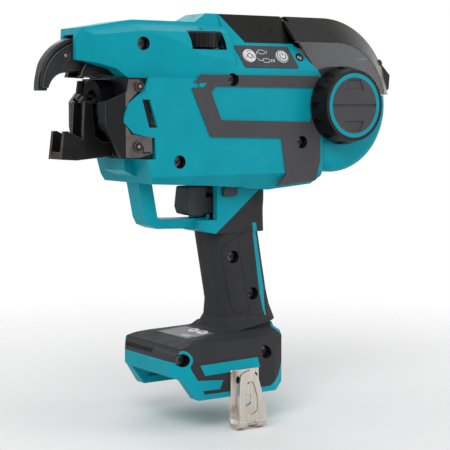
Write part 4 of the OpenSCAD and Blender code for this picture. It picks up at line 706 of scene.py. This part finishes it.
def grip_lines():
    """Fine dark lines that part the grip's side panel from the rest."""
    for side, out in SIDES:
        skin = surface(side + "_grip")
        inward = Vector((0, -out, 0))
        bm = bmesh.new()
        for corners in GRIP_LINES:
            points = []
            normals = []
            for x, z in along_line(corners):
                start = Vector((x, out * SIDE_RAY_Y, z)) * MM
                place, normal = skin.ray_cast(start, inward)[:2]
                if place is not None and normal.y * out > SIDE_FACING:
                    points.append(place)
                    normals.append(normal)
            add_strip(bm, points, normals, LINE_WIDTH, LINE_LOW, LINE_HIGH)
        new_piece(side + "_grip_lines", bm, BLACK, "housing")


grip_lines()


# Belt hook: a folded sheet, as X and Z in millimetres, in place of the CAD's plainer one
HOOK_T = 1.6
HOOK_BACK = -38.5
HOOK_FRONT = -53.2
HOOK_BEND_Z = -12.65
HOOK_PLATE = (
    (5.5, HOOK_BEND_Z), (5.5, 16.4), (6.1, 17), (26.9, 17), (27.5, 16.4), (27.5, HOOK_BEND_Z),
)
HOOK_WINDOW = (
    (11, -9), (16.3, -7.9), (19.5, -6.8), (21.6, -5.5), (21.8, -2), (20.8, -0.3), (11, -0.3),
)
# Holes: middle, half width and half height; the first is the screw's, the rest have a black
# sheet behind them as painted shade
HOOK_HOLES = (((16.5, 10.5), 1.65, 1.65), ((11.2, 10.4), 1.6, 2.4), ((24.9, 11.6), 1.4, 2.6))
HOLE_SHADE_Y = (HOOK_BACK - 0.1, HOOK_BACK - 0.5)
HOOK_TONGUE = (
    (3.4, HOOK_BEND_Z), (3.4, 9), (4.2, 14.2), (5.5, 17.3), (9.0, 18.3), (11.7, 18.9),
    (13.2, 18.4), (14.9, 16.9), (18.0, 13.2), (22.1, -0.5), (25.0, HOOK_BEND_Z),
)
HOOK_SLOT = (
    (13.1, 11.8), (15.4, 7.5), (17.3, 1.3), (17.5, -7.7), (14.9, -9.5), (12.6, -10.0),
    (9.8, -8.4), (8.2, -4.1), (6.9, 6.4), (7.7, 9.2), (10.5, 11.5),
)
# Strips of the bend: X at start and end, and the turn from tongue to plate, in degrees
HOOK_STRIPS = (
    ((3.4, 25.0), (3.5, 24.9), 0, 12),
    ((3.5, 10.4), (4.2, 11.0), 12, 100),
    ((17.8, 24.9), (18.6, 26.0), 12, 100),
    ((4.2, 26.0), (5.5, 27.5), 100, 180),
)
HOOK_ROUND = 0.25 * MM
HOOK_SHARP = math.radians(40)


def add_bend(bm, start, end, turn0, turn1, steps=8):
    """One strip of the hook's round bottom."""
    middle = (HOOK_BACK + HOOK_FRONT) / 2
    outer = (HOOK_BACK - HOOK_FRONT) / 2
    inner = outer - HOOK_T
    rings = []
    for i in range(steps + 1):
        share = i / steps
        turn = math.radians(turn0 + (turn1 - turn0) * share)
        left = start[0] + (end[0] - start[0]) * share
        right = start[1] + (end[1] - start[1]) * share
        ring = []
        for x, r in ((left, outer), (right, outer), (right, inner), (left, inner)):
            y = middle - r * math.cos(turn)
            z = HOOK_BEND_Z - r * math.sin(turn)
            ring.append(bm.verts.new(Vector((x, y, z)) * MM))
        rings.append(ring)
    loft(bm, rings)


def belt_hook():
    """The hook's plate, tongue and bend, with a black sheet as painted shade behind the holes
    that no screw fills.
    """
    bm = bmesh.new()
    holes = [ellipse(*hole) for hole in HOOK_HOLES]
    add_plate(bm, HOOK_PLATE, [HOOK_WINDOW, *holes], HOOK_BACK, HOOK_BACK - HOOK_T)
    add_plate(bm, HOOK_TONGUE, [HOOK_SLOT], HOOK_FRONT + HOOK_T, HOOK_FRONT)
    for strip in HOOK_STRIPS:
        add_bend(bm, *strip)
    hook = new_piece("hook_sheet", bm, NICKEL, "housing")
    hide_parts("belt_hook")
    edge = hook.modifiers.new("edge", "BEVEL")
    edge.width = HOOK_ROUND
    edge.limit_method = "ANGLE"
    edge.angle_limit = HOOK_SHARP
    # Painted shade: thin black sheets inside the plate behind the open holes
    shade_sheets = bmesh.new()
    for hole in holes[1:]:
        add_plate(shade_sheets, hole, [], *HOLE_SHADE_Y)
    new_piece("hook_hole_shade", shade_sheets, BLACK, "housing")


belt_hook()


# Small trim, in millimetres; outlines are X and Z
SIDE_IN = (0, 1, 0)
FACET_IN = (0, 0.87, -0.5)
# Tip of the side inlay with its slit, and how far out they start and end
INLAY_TIPS = (
    ((-9.0, 205.4), (-11.6, 205.4), (-18.0, 200.3), (-10.0, 200.0)),
    (
        (-12.0, 197.4), (-19.6, 196.9), (-5.9, 166.9), (-5.2, 168.0), (-9.4, 191.2),
        (-12.0, 196.0),
    ),
)
INLAY_SLIT = ((-14.0, 200.1), (-8.4, 199.9), (-10.9, 197.4), (-14.0, 197.4))
INLAY_FACE = 33.8
TIP_REACH = (31.6, INLAY_FACE - 0.1)
SLIT_REACH = (INLAY_FACE - 0.2, INLAY_FACE + 0.05)
# Small screws: places, turned profiles, and radius and height of the heads
FACET_SCREW = (68.2, -28.1, 217.6)
# Painted shade: a flat black ring on the facet for the screw's well
FACET_WELL_SHADE = ((3.1, -0.1), (3.1, 0.08), (1.0, 0.09))
FACET_HEAD = (1.9, 0.7)
ARM_SCREW = (-92.8, -6.5, 216.2)
ARM_HEAD = (1.2, 0.4)
# Painted shade: a flat black disc on each plate screw's head for its socket
PLATE_SOCKET_SHADE = ((2.0, -0.1), (2.0, 0.05), (0.5, 0.06))
PLATE_HEAD = (1.1, 0.3)
HEAD_SUNK = -0.1
HEAD_CROWN = ((1, 0.4), (0.75, 0.85), (0.3, 1))
# Rounded back of the upper arm, and its section as Y and height over that line
ARM_BACK = (
    (-83.5, 226.9), (-88.5, 227.0), (-92.0, 226.0), (-96.4, 223.6), (-100.8, 220.0),
    (-104.6, 215.5), (-106.9, 211.5), (-108.2, 207.0), (-109.0, 202.5), (-109.4, 197.0),
)
ARM_SECTION = (
    (-5.2, -1.2), (-4.4, -0.3), (-3.0, 0), (3.0, 0), (4.4, -0.3), (5.2, -1.2), (5.2, -4.5),
    (-5.2, -4.5),
)
# Dark cut in the contact plates, and about where their outer faces are
PLATE_NOTCH = ((-54.5, 161.3), (-54.5, 157.2), (-48.9, 157.2))
PLATE_Y = 33
NOTCH_WIDTH = 1.1 * MM
NOTCH_LOW = 0.2 * MM
# Teal ring of the knob: its middle and its section
KNOB_AT = (99, -48.2, 186)
KNOB_BAND = ((18.6, -0.3), (21.2, -0.3), (21.2, 0.05), (18.6, 0.05))
KNOB_STEPS = 72
# Ribs on the top cover
RIBS_AT = (49.3, -17.9, 235.6)
RIB_LINES = ((((-3.3, -2.7), (-3.3, 2.7)), 2.2, False), (((3.0, -2.7), (3.0, 2.7)), 2.2, False))
RIB_SLIT = ((((3.0, -2.0), (3.0, 2.0)), 1.0, False),)


def inlay_tips():
    """The inlay's pointed front end with the slit of shell colour, on both sides."""
    for side, out in SIDES:
        tips = bmesh.new()
        for outline in INLAY_TIPS:
            add_plate(tips, outline, [], *(out * y for y in TIP_REACH))
        new_piece(side + "_inlay_tips", tips, DARK, "housing")
        slit = bmesh.new()
        add_plate(slit, INLAY_SLIT, [], *(out * y for y in SLIT_REACH))
        new_piece(side + "_inlay_slit", slit, TEAL, "housing")


def dome(radius, height):
    """The profile of a screw's head, sunk a little into its seat."""
    crown = [(radius * r, height * h) for r, h in HEAD_CROWN]
    return ((radius, HEAD_SUNK), *crown)


def small_screws():
    """The facet's screw in a black ring painted as its well's shade, and the heads on the arm
    and plates, with black sockets on the plates painted as shade.
    """
    facet = Face("left_housing", Vector(FACET_SCREW) * MM, FACET_IN)
    ring = bmesh.new()
    add_lathe(ring, facet.place, FACET_WELL_SHADE)
    new_piece("facet_screw_well_shade", ring, BLACK, "housing")
    heads = bmesh.new()
    add_lathe(heads, facet.place, dome(*FACET_HEAD))
    arm = Face("guide_pins", Vector(ARM_SCREW) * MM, SIDE_IN)
    add_lathe(heads, arm.place, dome(*ARM_HEAD))
    sockets = bmesh.new()
    for middle in island_centres("plate_screws"):
        face = Face("plate_screws", middle, (0, -math.copysign(1, middle.y), 0))
        add_lathe(sockets, face.place, PLATE_SOCKET_SHADE)
        add_lathe(heads, face.place, dome(*PLATE_HEAD))
    new_piece("small_screw_heads", heads, SMALL_HEAD, "housing")
    new_piece("plate_screw_socket_shade", sockets, BLACK, "housing")


def smoothed(points, rounds=2):
    """Cuts the corners of an open line, ends kept."""
    for _ in range(rounds):
        cut = [points[0]]
        for a, b in zip(points, points[1:]):
            cut += [a + (b - a) * 0.25, a + (b - a) * 0.75]
        points = cut + [points[-1]]
    return points


def arm_back():
    """The smooth outer back of the upper arm."""
    path = smoothed([Vector((x, 0, z)) for x, z in ARM_BACK])
    across = Vector((0, 1, 0))
    bm = bmesh.new()
    rings = []
    for i, point in enumerate(path):
        along = path[min(i + 1, len(path) - 1)] - path[max(i - 1, 0)]
        out = across.cross(along).normalized()
        places = [(point + out * height + across * y) * MM for y, height in ARM_SECTION]
        rings.append([bm.verts.new(place) for place in places])
    for face in loft(bm, rings):
        face.smooth = True
    even_normals(new_piece("arm_back", bm, BLACK_STEEL, "housing"))


def plate_notches():
    """The dark cut in the rear tab of each contact plate."""
    first_x, first_z = PLATE_NOTCH[0]
    for side, out in SIDES:
        start = Vector((first_x, out * PLATE_Y, first_z)) * MM
        face = Face(side + "_plate", start, (0, -out, 0))
        path = [Vector((x * MM, face.origin.y, z * MM)) for x, z in PLATE_NOTCH]
        bm = bmesh.new()
        add_strip(bm, path, [face.normal] * len(path), NOTCH_WIDTH, NOTCH_LOW, PRINT_HIGH)
        new_piece(side + "_plate_notch", bm, BLACK, "housing")


def knob_band():
    """The wide teal ring round the knob's disc."""
    middle = Vector(KNOB_AT) * MM

    def on_knob(u, v, h):
        return middle + Vector((u, -h, v)) * MM

    bm = bmesh.new()
    add_lathe(bm, on_knob, KNOB_BAND, KNOB_STEPS, ring=True)
    new_piece("knob_band", bm, TEAL, "knob")


def cover_ribs():
    """Two low ribs on the slanted side of the top cover, one with a slit."""
    face = Face("top_cover", Vector(RIBS_AT) * MM, FACET_IN)
    printed("cover_ribs", face, RIB_LINES, [], BLACK, "housing")
    printed("cover_rib_slit", face, RIB_SLIT, [], FILM, "housing")


inlay_tips()
small_screws()
arm_back()
plate_notches()
knob_band()
cover_ribs()


# Floor, light and camera, in metres
STAGE_X = 0.03
FLOOR_R = 1.6
FLOOR_SIDES = 96
FLOOR_GAP = 0.2 * MM
FLOOR_COLOUR = (0.96, 0.96, 0.96, 1)
FLOOR_ROUGH = 0.9
FLOOR_NEAR = 0.10
FLOOR_FAR = 0.55
WORLD_COLOUR = (1, 1, 1, 1)
WORLD_LIGHT = 0.45
WORLD_SEEN = 1
LAMP_TARGET = (STAGE_X, 0, 0.14)
# Lamps: name, place, size and power
LAMPS = (
    ("key", (-0.9, -0.9, 1.2), (0.9, 0.9), 13),
    ("fill", (1.2, -0.9, 0.5), (0.8, 1.0), 5),
    ("rim", (0.5, 1.1, 1.0), (0.8, 0.8), 3),
)


def aim(obj, target):
    look = Vector(target) - obj.location
    obj.rotation_euler = look.to_track_quat("-Z", "Y").to_euler()


def make_floor():
    """A pale floor that fades into the white surroundings away from the tool."""
    place = (STAGE_X, 0, CAD_BOX[0][2] - FLOOR_GAP)
    bpy.ops.mesh.primitive_circle_add(
        vertices=FLOOR_SIDES, radius=FLOOR_R, fill_type="NGON", location=place,
    )
    floor = bpy.context.object
    floor.name = "floor"
    mat, tree, shader, coords = new_material("floor")
    socket(shader, "Base Color", FLOOR_COLOUR)
    socket(shader, "Roughness", FLOOR_ROUGH)
    length = vector_node(tree, "LENGTH", coords.outputs["Object"])
    fade = tree.nodes.new("ShaderNodeMapRange")
    socket(fade, "From Min", FLOOR_NEAR)
    socket(fade, "From Max", FLOOR_FAR)
    tree.links.new(length, fade.inputs["Value"])
    clear = tree.nodes.new("ShaderNodeBsdfTransparent")
    mix = tree.nodes.new("ShaderNodeMixShader")
    tree.links.new(fade.outputs["Result"], mix.inputs["Fac"])
    tree.links.new(shader.outputs["BSDF"], mix.inputs[1])
    tree.links.new(clear.outputs["BSDF"], mix.inputs[2])
    tree.links.new(mix.outputs["Shader"], tree.nodes["Material Output"].inputs["Surface"])
    floor.data.materials.append(mat)


def make_world():
    """White where the camera or a reflection looks, plain soft light elsewhere."""
    world = bpy.data.worlds.new("studio")
    world.use_nodes = True
    bpy.context.scene.world = world
    tree = world.node_tree
    back = tree.nodes["Background"]
    socket(back, "Color", WORLD_COLOUR)
    path = tree.nodes.new("ShaderNodeLightPath")
    seen = path.outputs["Is Camera Ray"]
    for ray in ("Is Glossy Ray", "Is Transmission Ray"):
        seen = math_node(tree, "MAXIMUM", seen, path.outputs[ray])
    strength = tree.nodes.new("ShaderNodeMapRange")
    socket(strength, "To Min", WORLD_LIGHT)
    socket(strength, "To Max", WORLD_SEEN)
    tree.links.new(seen, strength.inputs["Value"])
    tree.links.new(strength.outputs["Result"], back.inputs["Strength"])


def area_lamp(name, place, size, power):
    data = bpy.data.lights.new(name, "AREA")
    data.shape = "RECTANGLE"
    data.size, data.size_y = size
    data.energy = power
    lamp = bpy.data.objects.new(name, data)
    lamp.location = place
    aim(lamp, LAMP_TARGET)
    bpy.context.collection.objects.link(lamp)


def make_camera():
    data = bpy.data.cameras.new("camera")
    data.lens = CAMERA_LENS
    data.sensor_width = SENSOR
    camera = bpy.data.objects.new("camera", data)
    camera.location = Vector(CAMERA_AT) * MM
    aim(camera, Vector(CAMERA_TARGET) * MM)
    bpy.context.collection.objects.link(camera)
    bpy.context.scene.camera = camera


make_floor()
make_world()
for lamp_row in LAMPS:
    area_lamp(*lamp_row)
make_camera()

scene = bpy.context.scene
scene.view_settings.view_transform = "Standard"
